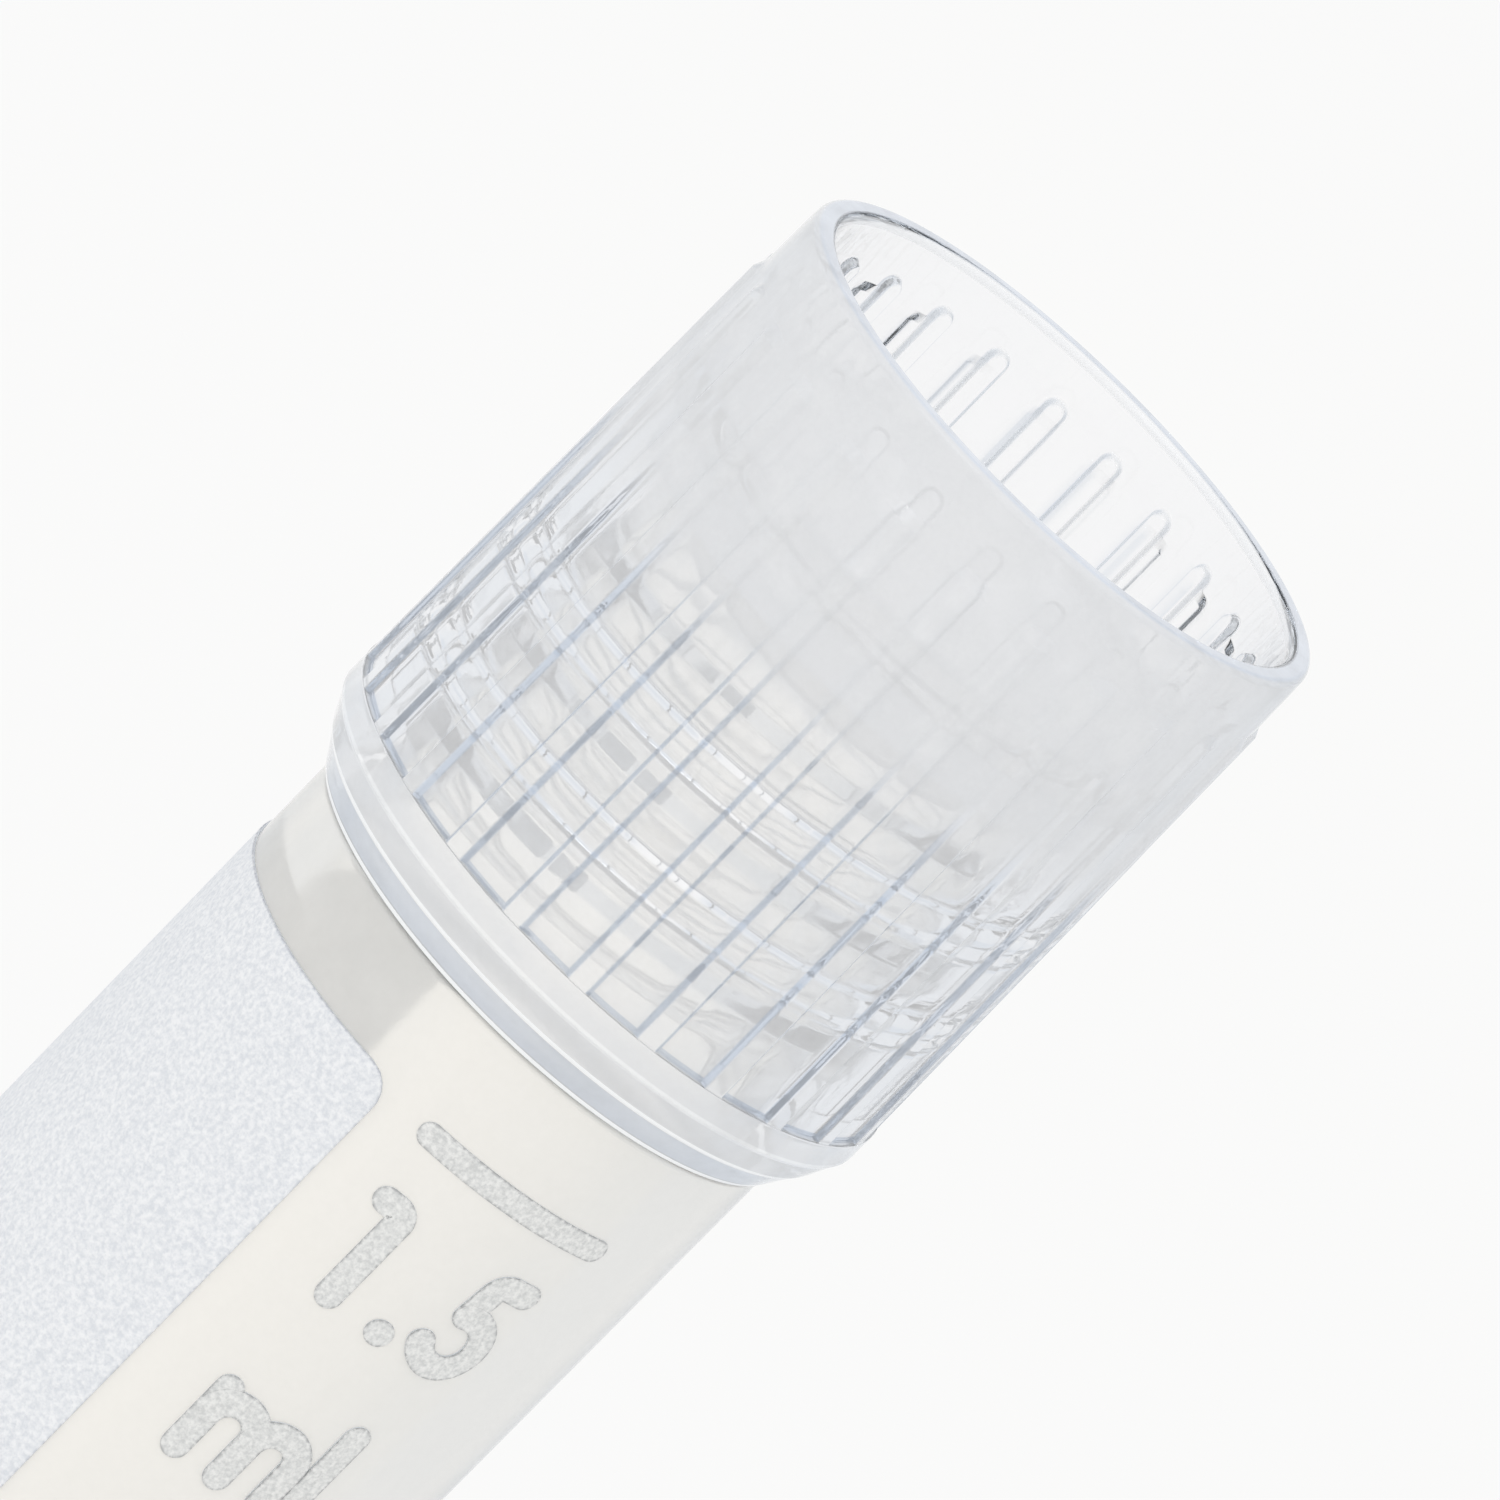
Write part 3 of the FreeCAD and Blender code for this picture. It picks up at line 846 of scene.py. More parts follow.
    def angles(self) -> Array:
        """Angles round the cap, close together at the sides of the ribs.

        Returns:
            The angles in radians, from 0 to a full turn.
        """
        half, side = self.rib_angle / 2.0, self.rib_side
        right = np.array([0.35 * half, 0.65 * half, half - side, half - 0.5 * side, half, half + 0.5 * side,
                          half + side, self.valley])
        period = np.concatenate([-right[::-1], [0.0], right, [180.0 / self.ribs]])
        all_round = np.add.outer(np.arange(self.ribs) * 360.0 / self.ribs, period).ravel()
        return np.radians(np.sort(np.concatenate([all_round % 360.0, [360.0]])))

    def off_rib(self, angles: Array) -> Array:
        """Angle from the middle of the nearest rib: the angle less the nearest whole number of spacings.

        Args:
            angles: Angles in radians.

        Returns:
            The angles from the ribs, in degrees.
        """
        spacing = 360.0 / self.ribs
        degrees = np.degrees(angles)
        return np.abs(degrees - spacing * np.round(degrees / spacing))

    def build(self, angles: Array) -> Lathe:
        """Work out the whole surface, from the middle of the recess over the rim to that of the ceiling.

        Args:
            angles: Angles of the columns, in radians.

        Returns:
            The rows of the surface.
        """
        lathe = Lathe(angles)
        self.add_recess(lathe)
        self.add_skirt(lathe)
        self.add_lip(lathe)
        self.add_underside(lathe)
        return lathe

    def add_recess(self, lathe: Lathe) -> None:
        """Add the floor and wall of the recess, with its round-topped key ribs, and the rim.

        A key rib is as high as its face stands in front of the wall, where the distance to its middle line,
        which ends at the centre of its round top, is less than half its width.  Pale painted lines, which
        stand in for the light bent at the key ribs, are a flat-topped tent over their sides; the floor and
        the rim's inner edge carry a painted highlight and the rim's flat top a painted shade.

        Args:
            lathe: Surface that the rows are added to.
        """
        floor = self.ceiling + self.floor
        wide = self.rim - self.rim_wall
        narrow = wide - self.recess_draft
        corner = self.recess_corner
        path = rounded_path([(0.0, floor, 0.0), (narrow, floor, corner), (narrow, floor + 1.0, 0.0)])
        # The floor is paled by a painted highlight.
        lathe.add_path(path[:-1], self.floor_share)
        spring = self.top - self.key_drop - self.key_width / 2.0
        brow = spring + self.key_width / 2.0
        rows = np.concatenate([
            close_rows(floor + corner + 0.1, spring, self.wall_step),
            np.linspace(spring, brow + 0.06, 10)[1:],
            close_rows(brow + 0.16, self.top - self.rim_round - 0.05, self.brow_step),
        ])[:, None]
        wall = narrow + self.recess_draft * (rows - floor) / (self.top - floor)
        across = np.radians(self.off_rib(lathe.angles)) * narrow
        away = np.hypot(across, np.maximum(rows - spring, 0.0))
        inside = smooth((self.key_width / 2.0 + self.key_side - away) / (2.0 * self.key_side))
        face = narrow - self.key_height
        # The tent over the key ribs' sides carries pale painted lines.
        edge = np.clip(1.5 - 3.0 * np.abs(inside - 0.5), 0.0, 1.0)
        lathe.add(wall + (face - wall) * inside, rows, self.key_share * edge)
        path = rounded_path([
            (wide, self.top - self.rim_round - 0.03, 0.0),
            (wide, self.top, self.rim_round),
            (self.rim, self.top, self.rim_round),
            (self.rim, self.top - self.rim_round - 0.03, 0.0),
        ], steps=8)[1:]
        # Painted highlight on the rim's inner edge, painted shade on a band of its flat top.
        bright, band = self.rim_bright, self.rim_band
        shares = np.interp(path[:, :1], [wide + bright, wide + band, self.rim - band, self.rim - bright],
                           [self.rim_painted_highlight, self.rim_painted_shade, self.rim_painted_shade, 0.0])
        lathe.add(path[:, :1], path[:, 1:], shares)

    def add_skirt(self, lathe: Lathe) -> None:
        """Add the collar and the ribbed skirt down to the ledge of the ring.

        A grip rib stands proud by its height inside its angle, its sides grow softer towards the milky upper
        part, and its height runs out under the collar.  A painted shade, which stands in for the light bent
        at the ribs, is a tent over the side of the rib, which fades in the milky upper part, and it is whole
        on the foot of the valley between two ribs.

        Args:
            lathe: Surface that the rows are added to.
        """
        seam = self.top - self.collar
        rows = close_rows(self.grip_foot, self.top - self.rim_round - 0.1, self.skirt_step, seam,
                          seam - self.grip_ramp, self.grip_foot, self.grip_foot + self.valley_foot)
        rows = rows[::-1, None]
        low = self.skirt - self.draft * (rows - self.grip_foot) / (seam - self.grip_foot)
        high = self.rim + self.collar_draft * (self.top - rows) / self.collar
        wall = np.where(rows > seam, high, low)
        change = 2.0 * self.milky_half
        soft = self.rib_side + self.rib_fade * smooth((rows - self.milky + self.milky_half) / change)
        side = (self.rib_angle / 2.0 + soft - self.off_rib(lathe.angles)) / (2.0 * soft)
        run_out = np.clip((seam - rows) / self.grip_ramp, 0.0, 1.0)
        # A painted shade lies over the side of each rib and on the foot of each valley.
        tent = np.clip(2.0 - 4.0 * np.abs(side - 0.5), 0.0, 1.0)
        foot = np.where(rows < self.grip_foot + self.valley_foot, side < 0.5, 0.0)
        fade = smooth((self.milky - rows) / change)
        lathe.add(wall + self.grip_height * smooth(side) * run_out, rows, np.maximum(tent * fade, foot))

    def add_lip(self, lathe: Lathe) -> None:
        """Add the plain ring, the taper under it with its narrow shelf, and the lip.

        The small offsets put a row close beside each edge, where the painted highlight and shade change.

        Args:
            lathe: Surface that the rows are added to.
        """
        lip_radius = self.bore + self.lip_wall
        low = self.lip - self.lip_drop
        ring_foot = self.grip_foot - self.ring_length
        shelf, shelf_radius = self.lip + self.shelf, self.ring_radius - self.shelf_in
        lathe.add_path(rounded_path([
            (self.skirt + self.grip_height + 0.005, self.grip_foot, 0.0),
            (self.ring_radius, self.grip_foot, 0.02),
            (self.ring_radius, ring_foot + 0.08, 0.0),
        ]))
        # Painted highlights on the ring's lower edge, the shelf and the lip, and a painted shade on the
        # taper.
        lathe.add_path(rounded_path([
            (self.ring_radius, ring_foot + 0.06, 0.0),
            (self.ring_radius, ring_foot, 0.04),
            (self.ring_radius - 0.04, ring_foot - 0.05, 0.0),
        ]), self.ring_share)
        lathe.add_path(np.array([[self.ring_radius - 0.05, ring_foot - 0.07],
                                 [self.ring_radius - 0.28, shelf + 0.07]]))
        lathe.add_path(rounded_path([
            (self.ring_radius - 0.29, shelf + 0.05, 0.0),
            (shelf_radius, shelf, 0.03),
            (self.ring_radius - 0.36, shelf - 0.04, 0.0),
        ]), self.lip_share)
        lathe.add_path(np.array([[self.ring_radius - 0.38, shelf - 0.06],
                                 [lip_radius + 0.08, low + 0.12]]), self.taper_share)
        lathe.add_path(rounded_path([
            (lip_radius + 0.06, low + 0.09, 0.0),
            (lip_radius, low, 0.03),
            (self.bore + self.lip_lead, low, 0.02),
            (self.bore, low + self.lip_lead, 0.02),
        ]), self.lip_share)
        lathe.add_path(np.array([[self.bore, self.lip + 0.3]]))

    def add_underside(self, lathe: Lathe) -> None:
        """Add the threaded bore, the seat of the seal and the plug.

        Args:
            lathe: Surface that the rows are added to.
        """
        foot = self.thread.start - self.thread.root / 2.0 - self.thread_foot
        plain = np.linspace(self.lip + 0.35, foot - 0.03, 4)[:, None]
        lathe.add(np.full_like(plain, self.bore), plain)
        rows = self.thread.rows(lathe.angles, foot, self.ceiling - 0.05)
        # The thread's upper flank carries a painted shade.
        side = self.thread.upper_side(lathe.angles, rows)
        lathe.add(self.bore - self.thread.height(lathe.angles, rows), rows,
                  self.thread_share * side)
        lathe.add_path(rounded_path([
            (self.bore, self.ceiling - 0.03, 0.0),
            (self.bore, self.ceiling, 0.0),
            (self.plug, self.ceiling, 0.0),
            (self.plug, self.plug_foot, self.plug_round),
            (self.plug - self.plug_wall, self.plug_foot, self.plug_round),
            (self.plug - self.plug_wall, self.ceiling, self.plug_root),
            (0.0, self.ceiling, 0.0),
        ]))


@dataclass
class VialTube:
    """The milky vial: conical well, rounded mouth, threaded neck, plain tube and star foot.

    Attributes:
        height: Height of the mouth.
        radius: Radius of the tube.
        neck_length: Length of the neck.
        neck: Radius of the neck between the threads.
        mouth: Radius of the opening.
        mouth_round: Rounding of the mouth's two edges.
        core_draft: How much narrower the well is at its foot than at the mouth.
        well_floor: Height of the lowest point of the well.
        cone: Height of its conical part.
        cone_tip: Radius of the flat at the tip of the cone.
        cone_round: Rounding between the cone and the wall.
        tip_round: Rounding between the cone and the flat.
        bottom: Thickness of the bottom.
        edge: Rounding of the shoulder and of the foot.
        shoulder_round: Rounding between the neck and the shoulder.
        skirt_wall: Thickness of the skirt.
        skirt_rise: Height at which the rows round the skirt's lower edge end, inside.
        hollow_from: Height at which the rows of the hollow's wall begin.
        star_ribs: Number of spokes.
        star_width: Width of a spoke.
        star_reach: Distance from the axis at which the spokes begin.
        star_lift: Height of their underside over the bench.
        star_side: Half the width of the side of a spoke.
        star_end: Half the length of the inner end of a spoke.
        columns: Cells round the tube.
        thread_share: Share of painted shade on the thread's upper side.
        thread_foot: Distance under the thread at which its rows begin.
        thread: The thread on the neck.
    """

    height: float
    radius: float
    neck_length: float = 8.7
    neck: float = 4.75
    mouth: float = 4.25
    mouth_round: float = 0.16
    core_draft: float = 0.15
    well_floor: float = 3.1
    cone: float = 3.5
    cone_tip: float = 1.3
    cone_round: float = 1.2
    tip_round: float = 0.8
    bottom: float = 1.3
    edge: float = 0.12
    shoulder_round: float = 0.1
    skirt_wall: float = 0.8
    skirt_rise: float = 0.4
    hollow_from: float = 0.42
    star_ribs: int = 8
    star_width: float = 0.8
    star_reach: float = 2.0
    star_lift: float = 0.5
    star_side: float = 0.04
    star_end: float = 0.05
    columns: int = 320
    thread_share: float = 0.6
    thread_foot: float = 0.1
    thread: Thread = Thread(start=35.38, turns=2.9)

    def build(self) -> Lathe:
        """Work out the whole surface, from the middle of the well over the mouth to the middle of the foot.

        The last point of the first path only gives the rounding of the mouth its direction, and is dropped.

        Returns:
            The rows of the surface.
        """
        lathe = Lathe(np.linspace(0.0, TURN, self.columns + 1))
        shoulder = self.height - self.neck_length
        narrow = self.mouth - self.core_draft
        path = rounded_path([
            (0.0, self.well_floor, 0.0),
            (self.cone_tip, self.well_floor, self.tip_round),
            (narrow, self.well_floor + self.cone, self.cone_round),
            (self.mouth, self.height, self.mouth_round),
            (self.neck, self.height, self.mouth_round),
            (self.neck, shoulder + 8.0, 0.0),
        ], steps=6)
        lathe.add_path(path[:-1])
        foot = self.thread.start - self.thread.root / 2.0 - self.thread_foot
        rows = self.thread.rows(lathe.angles, foot, self.height - self.mouth_round - 0.06)[::-1]
        # The thread's upper flank carries a painted shade.
        side = self.thread.upper_side(lathe.angles, rows)
        lathe.add(self.neck + self.thread.height(lathe.angles, rows), rows, self.thread_share * side)
        lathe.add_path(rounded_path([
            (self.neck, foot - 0.05, 0.0),
            (self.neck, shoulder, self.shoulder_round),
            (self.radius, shoulder, self.edge),
            (self.radius, 0.0, self.edge),
            (self.radius - self.skirt_wall, 0.0, self.edge),
            (self.radius - self.skirt_wall, self.skirt_rise, 0.0),
        ]))
        self.add_foot(lathe)
        return lathe

    def add_foot(self, lathe: Lathe) -> None:
        """Add the hollow of the foot with the ribs of its star.

        The underside rises outwards with the cone.  Within half a spoke's width of its middle, measured
        across it, and farther out than the spokes begin, the surface drops to the underside of the spoke.

        Args:
            lathe: Surface that the rows are added to.
        """
        bore = self.radius - self.skirt_wall
        slope = self.cone / (self.mouth - self.core_draft - self.cone_tip)
        reach, end = self.star_reach, self.star_end
        radii = np.concatenate([np.linspace(bore, reach + 2.0 * end, 16),
                                np.linspace(reach + end, reach - end, 5),
                                np.linspace(reach - 2.0 * end, self.cone_tip, 4)])[:, None]
        under = self.well_floor - self.bottom + slope * (radii - self.cone_tip)
        spacing = TURN / self.star_ribs
        off = lathe.angles - spacing * np.round(lathe.angles / spacing)
        across = np.abs(radii * np.sin(off))
        rib = smooth((self.star_width / 2.0 + self.star_side - across) / (2.0 * self.star_side))
        rib = rib * smooth((radii - reach + end) / (2.0 * end))
        heights = under + (self.star_lift - under) * rib
        sides = np.linspace(0.0, 1.0, 12)[1:-1, None]
        wall = self.hollow_from + (heights[:1] - self.hollow_from) * sides
        lathe.add(np.full_like(sides, bore), wall)
        lathe.add(radii, heights)
        tip = self.well_floor - self.bottom
        lathe.add_path(np.array([[self.cone_tip * 0.6, tip], [0.0, tip]]))


@dataclass
class SealRing:
    """The soft ring that the cap presses on the mouth.

    Attributes:
        low: Height of its lower face.
        high: Height of its upper face.
        outer: Outer radius.
        inner: Inner radius.
        edge: Rounding of its edges.
        columns: Cells round the ring.
    """

    low: float
    high: float
    outer: float
    inner: float = 3.92
    edge: float = 0.1
    columns: int = 240

    def build(self) -> Lathe:
        """Work out a ring of rounded rectangular section, as a closed loop of rows.

        Returns:
            The rows of the surface.
        """
        lathe = Lathe(np.linspace(0.0, TURN, self.columns + 1))
        middle = (self.low + self.high) / 2.0
        lathe.add_path(rounded_path([
            (self.inner, middle, 0.0),
            (self.inner, self.high, self.edge),
            (self.outer, self.high, self.edge),
            (self.outer, self.low, self.edge),
            (self.inner, self.low, self.edge),
            (self.inner, middle, 0.0),
        ]))
        return lathe


def slab(angles: Array, heights: Array, outside: float, inside: float) -> list[Array]:
    """Close a sheet laid round the vial with its back and its edge.

    The front is the grid at the outer radius, the back the same grid at the inner one, and the edge joins the
    rims of the two.

    Args:
        angles: Angles in radians, (rows, columns), rows running down and columns to the right.
        heights: Heights in millimetres, as large.
        outside: Radius of the front.
        inside: Radius of the back.

    Returns:
        Grids of points in metres.
    """
    sheets = [np.stack([radius * np.cos(angles), radius * np.sin(angles), heights], axis=-1) * MM
              for radius in (outside, inside)]
    rims = [np.concatenate([sheet[0], sheet[1:, -1], sheet[-1, -2::-1], sheet[-2::-1, 0]])
            for sheet in sheets]
    return [sheets[0], sheets[1][:, ::-1], np.stack([rims[1], rims[0]])]


@dataclass
class WritingPanel:
    """The opaque panel printed on the tube, rooted in its surface.

    Attributes:
        low: Height of its lower end.
        high: Height of its upper end.
        radius: Radius of its outer face.
        thickness: Thickness of the ink.
        rooted: How deep the back lies in the tube, so that no gap shows.
        middle: Angle of its middle, in degrees.
        angle: Angle that it takes round the tube, in degrees.
        corner: Radius of its corners.
        gather: Power that gathers the rows at its two ends.
        columns: Points along a row.
        rows: Rows down the panel.
    """

    low: float
    high: float
    radius: float
    thickness: float = 0.05
    rooted: float = 0.006
    middle: float = 180.2
    angle: float = 159.0
    corner: float = 0.6
    gather: float = 1.6
    columns: int = 161
    rows: int = 60

    def mesh(self, name: str) -> bpy.types.Mesh:
        """Lay a rectangle with round corners round the tube.

        Down the panel the rows are close together at its two ends.  The half width of a row is the full half
        width less what the round corner takes there, and its points are gathered at the sides by a sine.  The
        inset of a point is its distance from the nearest side, or in a corner from the arc.

        Args:
            name: Name of the mesh.

        Returns:
            The mesh.
        """
        half_high = (self.high - self.low) / 2.0
        half_wide = np.radians(self.angle / 2.0) * self.radius
        share = np.linspace(-1.0, 1.0, self.rows)
        close = 1.0 - (1.0 - np.abs(share)) ** self.gather
        down = (np.sign(share) * close * half_high)[:, None]
        lost = np.maximum(np.abs(down) - (half_high - self.corner), 0.0)
        half_row = half_wide - self.corner + np.sqrt(np.maximum(self.corner**2 - lost**2, 0.0))
        across = half_row * np.sin(np.linspace(-0.5, 0.5, self.columns) * np.pi)
        over_wide = np.abs(across) - (half_wide - self.corner)
        over_high = np.broadcast_to(np.abs(down) - (half_high - self.corner), over_wide.shape)
        outer = np.hypot(np.maximum(over_wide, 0.0), np.maximum(over_high, 0.0))
        inset = self.corner - outer - np.minimum(np.maximum(over_wide, over_high), 0.0)
        angles = np.radians(self.middle) + across / self.radius
        heights = np.broadcast_to((self.high + self.low) / 2.0 - down, angles.shape)
        grids = slab(angles, heights, self.radius, self.radius - self.thickness - self.rooted)
        return grid_mesh(name, grids, inset=[inset, np.full_like(inset, BACK), np.zeros(grids[2].shape[:2])])


@dataclass
class VolumeMark:
    """The printed graduation: a bar with round ends and the plain volume under it.

    Strokes are centre lines in millimetres: to the right along the tube from the angle of the start, and
    height over the bench.

    Attributes:
        radius: Radius of the tube.
        start: Angle of the left end, in degrees.
        thickness: Thickness of the ink.
        rooted: How deep the back lies in the tube, so that no gap shows.
        layer: How much higher than the one before each stroke lies, so that none share a surface.
        bar: Height of the bar.
        bar_from: Centre of the bar's left end.
        bar_to: Centre of its right end.
        bar_half: Half the width of the bar.
        digits: Height of the foot of the digits.
        digit_high: Height of a digit.
        letters: Height of the foot of the letters.
        letter_high: Height of a low letter.
        arch: Radius of the arches of the m.
        pen: Half the width of the other strokes.
        step: Length of the cells along a straight stroke.
    """

    radius: float
    start: float = -95.3
    thickness: float = 0.03
    rooted: float = 0.006
    layer: float = 0.003
    bar: float = 32.17
    bar_from: float = 0.6
    bar_to: float = 4.68
    bar_half: float = 0.25
    digits: float = 28.42
    digit_high: float = 2.6
    letters: float = 24.4
    letter_high: float = 1.9
    arch: float = 0.495
    pen: float = 0.27
    step: float = 0.15

    def strokes(self) -> list[tuple[float, Array]]:
        """Lay out the strokes: the bar, then the figures 1, point and 5, and under them the letters m and l.

        Returns:
            Half width and centre line of each stroke.
        """
        pen, arch = self.pen, self.arch
        low, high = self.digits + pen, self.digits + self.digit_high - pen
        foot, brow = self.letters + pen, self.letters + self.letter_high - pen
        tall = self.letters + self.digit_high - pen
        bar = [(self.bar_from, self.bar, 0.0), (self.bar_to, self.bar, 0.0)]
        one = [(0.86, high - 0.02, 0.0), (1.3, high, 0.2), (1.3, low, 0.0)]
        point = [(2.47, low, 0.0), (2.5, low, 0.0)]
        five_neck = [(4.27, high, 0.0), (3.66, high, pen), (3.56, low + 1.18, 0.0)]
        m_stem = [(1.21, brow + 0.1, 0.0), (1.21, foot, 0.0)]
        l_stem = [(3.74, tall, 0.0), (3.74, foot, 0.0)]
        strokes = [(self.bar_half, rounded_path(bar, steps=8))]
        strokes += [(pen, rounded_path(line, steps=8)) for line in (one, point, five_neck, m_stem, l_stem)]
        five_bowl = self.arc(3.72, low + 0.6, 0.57, 0.6, 105.0, -152.0)
        strokes.append((pen, five_bowl))
        for left in (1.21, 2.2):
            m_arch = self.arc(left + arch, brow - arch, arch, arch, 170.0, 0.0)
            strokes.append((pen, np.vstack([m_arch, [[left + 2.0 * arch, foot]]])))
        return strokes

    def arc(self, across: float, height: float, wide: float, high: float, begin: float,
            end: float) -> Array:
        """Points on an ellipse: the centre plus the half axes times the cosine and sine of the angle.

        Args:
            across: Place of the centre along the tube.
            height: Height of the centre.
            wide: Half axis along the tube.
            high: Half axis up the tube.
            begin: First angle, in degrees.
            end: Last angle, in degrees.

        Returns:
            The points.
        """
        angles = np.radians(np.linspace(begin, end, 25))
        return np.stack([across + wide * np.cos(angles), height + high * np.sin(angles)], axis=-1)

    def lay(self, half: float, line: Array, lift: float) -> tuple[list[Array], Array]:
        """Lay one stroke round the tube.

        The centre line goes on past its ends by the half width, and the width closes there as a half circle.
        A row is the centre line's point moved along its normal by the share of the half width.

        Args:
            half: Half width of the stroke.
            line: Centre line.
            lift: Height over the printed surface, so that strokes that cross don't share a surface.

        Returns:
            Grids of points in metres, and the flat places of the front's points.
        """
        cap = np.linspace(0.0, np.pi / 2.0, 9)[:-1]
        first = (line[0] - line[1]) / np.linalg.norm(line[0] - line[1])
        last = (line[-1] - line[-2]) / np.linalg.norm(line[-1] - line[-2])
        pieces = [line[:1] + half * np.cos(cap)[:, None] * first]
        for here, there in zip(line[:-1], line[1:]):
            steps = max(1, int(np.linalg.norm(there - here) / self.step))
            pieces.append(here + (there - here) * np.linspace(0.0, 1.0, steps + 1)[:-1, None])
        pieces += [line[-1:], line[-1:] + half * np.cos(cap[::-1])[:, None] * last]
        centre = np.vstack(pieces)
        width = np.full(len(centre), half)
        width[:len(cap)], width[-len(cap):] = half * np.sin(cap), half * np.sin(cap[::-1])
        tangent = np.gradient(centre, axis=0)
        tangent /= np.linalg.norm(tangent, axis=1, keepdims=True)
        normal = np.stack([-tangent[:, 1], tangent[:, 0]], axis=-1)
        shares = np.array([-1.0, -0.93, -0.8, -0.5, 0.0, 0.5, 0.8, 0.93, 1.0])
        flat = centre[:, None] + normal[:, None] * (width[:, None] * shares)[..., None]
        angles = np.radians(self.start) + flat[..., 0] / self.radius
        outside = self.radius + self.thickness + lift
        return slab(angles[:, ::-1], flat[:, ::-1, 1], outside, self.radius - self.rooted), flat[:, ::-1]

    def mesh(self, name: str) -> bpy.types.Mesh:
        """Lay all strokes.

        The inset of a point is the largest, over the strokes, of the half width less the distance to the
        centre line, so that it is that of the whole figure where strokes cross.

        Args:
            name: Name of the mesh.

        Returns:
            The mesh.
        """
        strokes = self.strokes()
        grids, inset = [], []
        for number, (half, line) in enumerate(strokes):
            faces, flat = self.lay(half, line, self.layer * number)
            depth = np.max([other_half - self.distance(flat, other) for other_half, other in strokes],
                           axis=0)
            grids += faces
            inset += [depth, np.full_like(depth, BACK), np.zeros(faces[2].shape[:2])]
        return grid_mesh(name, grids, inset=inset)

    def distance(self, flat: Array, line: Array) -> Array:
        """Distance of flat points from a centre line: to the nearest point of each of its straight runs.

        Args:
            flat: Flat places, with along and up last.
            line: Centre line.

        Returns:
            The distances.
        """
        begin, run = line[:-1], np.diff(line, axis=0)
        away = flat[:, :, None] - begin
        share = np.clip((away * run).sum(axis=-1) / (run**2).sum(axis=-1), 0.0, 1.0)
        return np.linalg.norm(away - share[..., None] * run, axis=-1).min(axis=-1)


# ---------------------------------------------------------------------------------------------------------
# Studio
# ---------------------------------------------------------------------------------------------------------


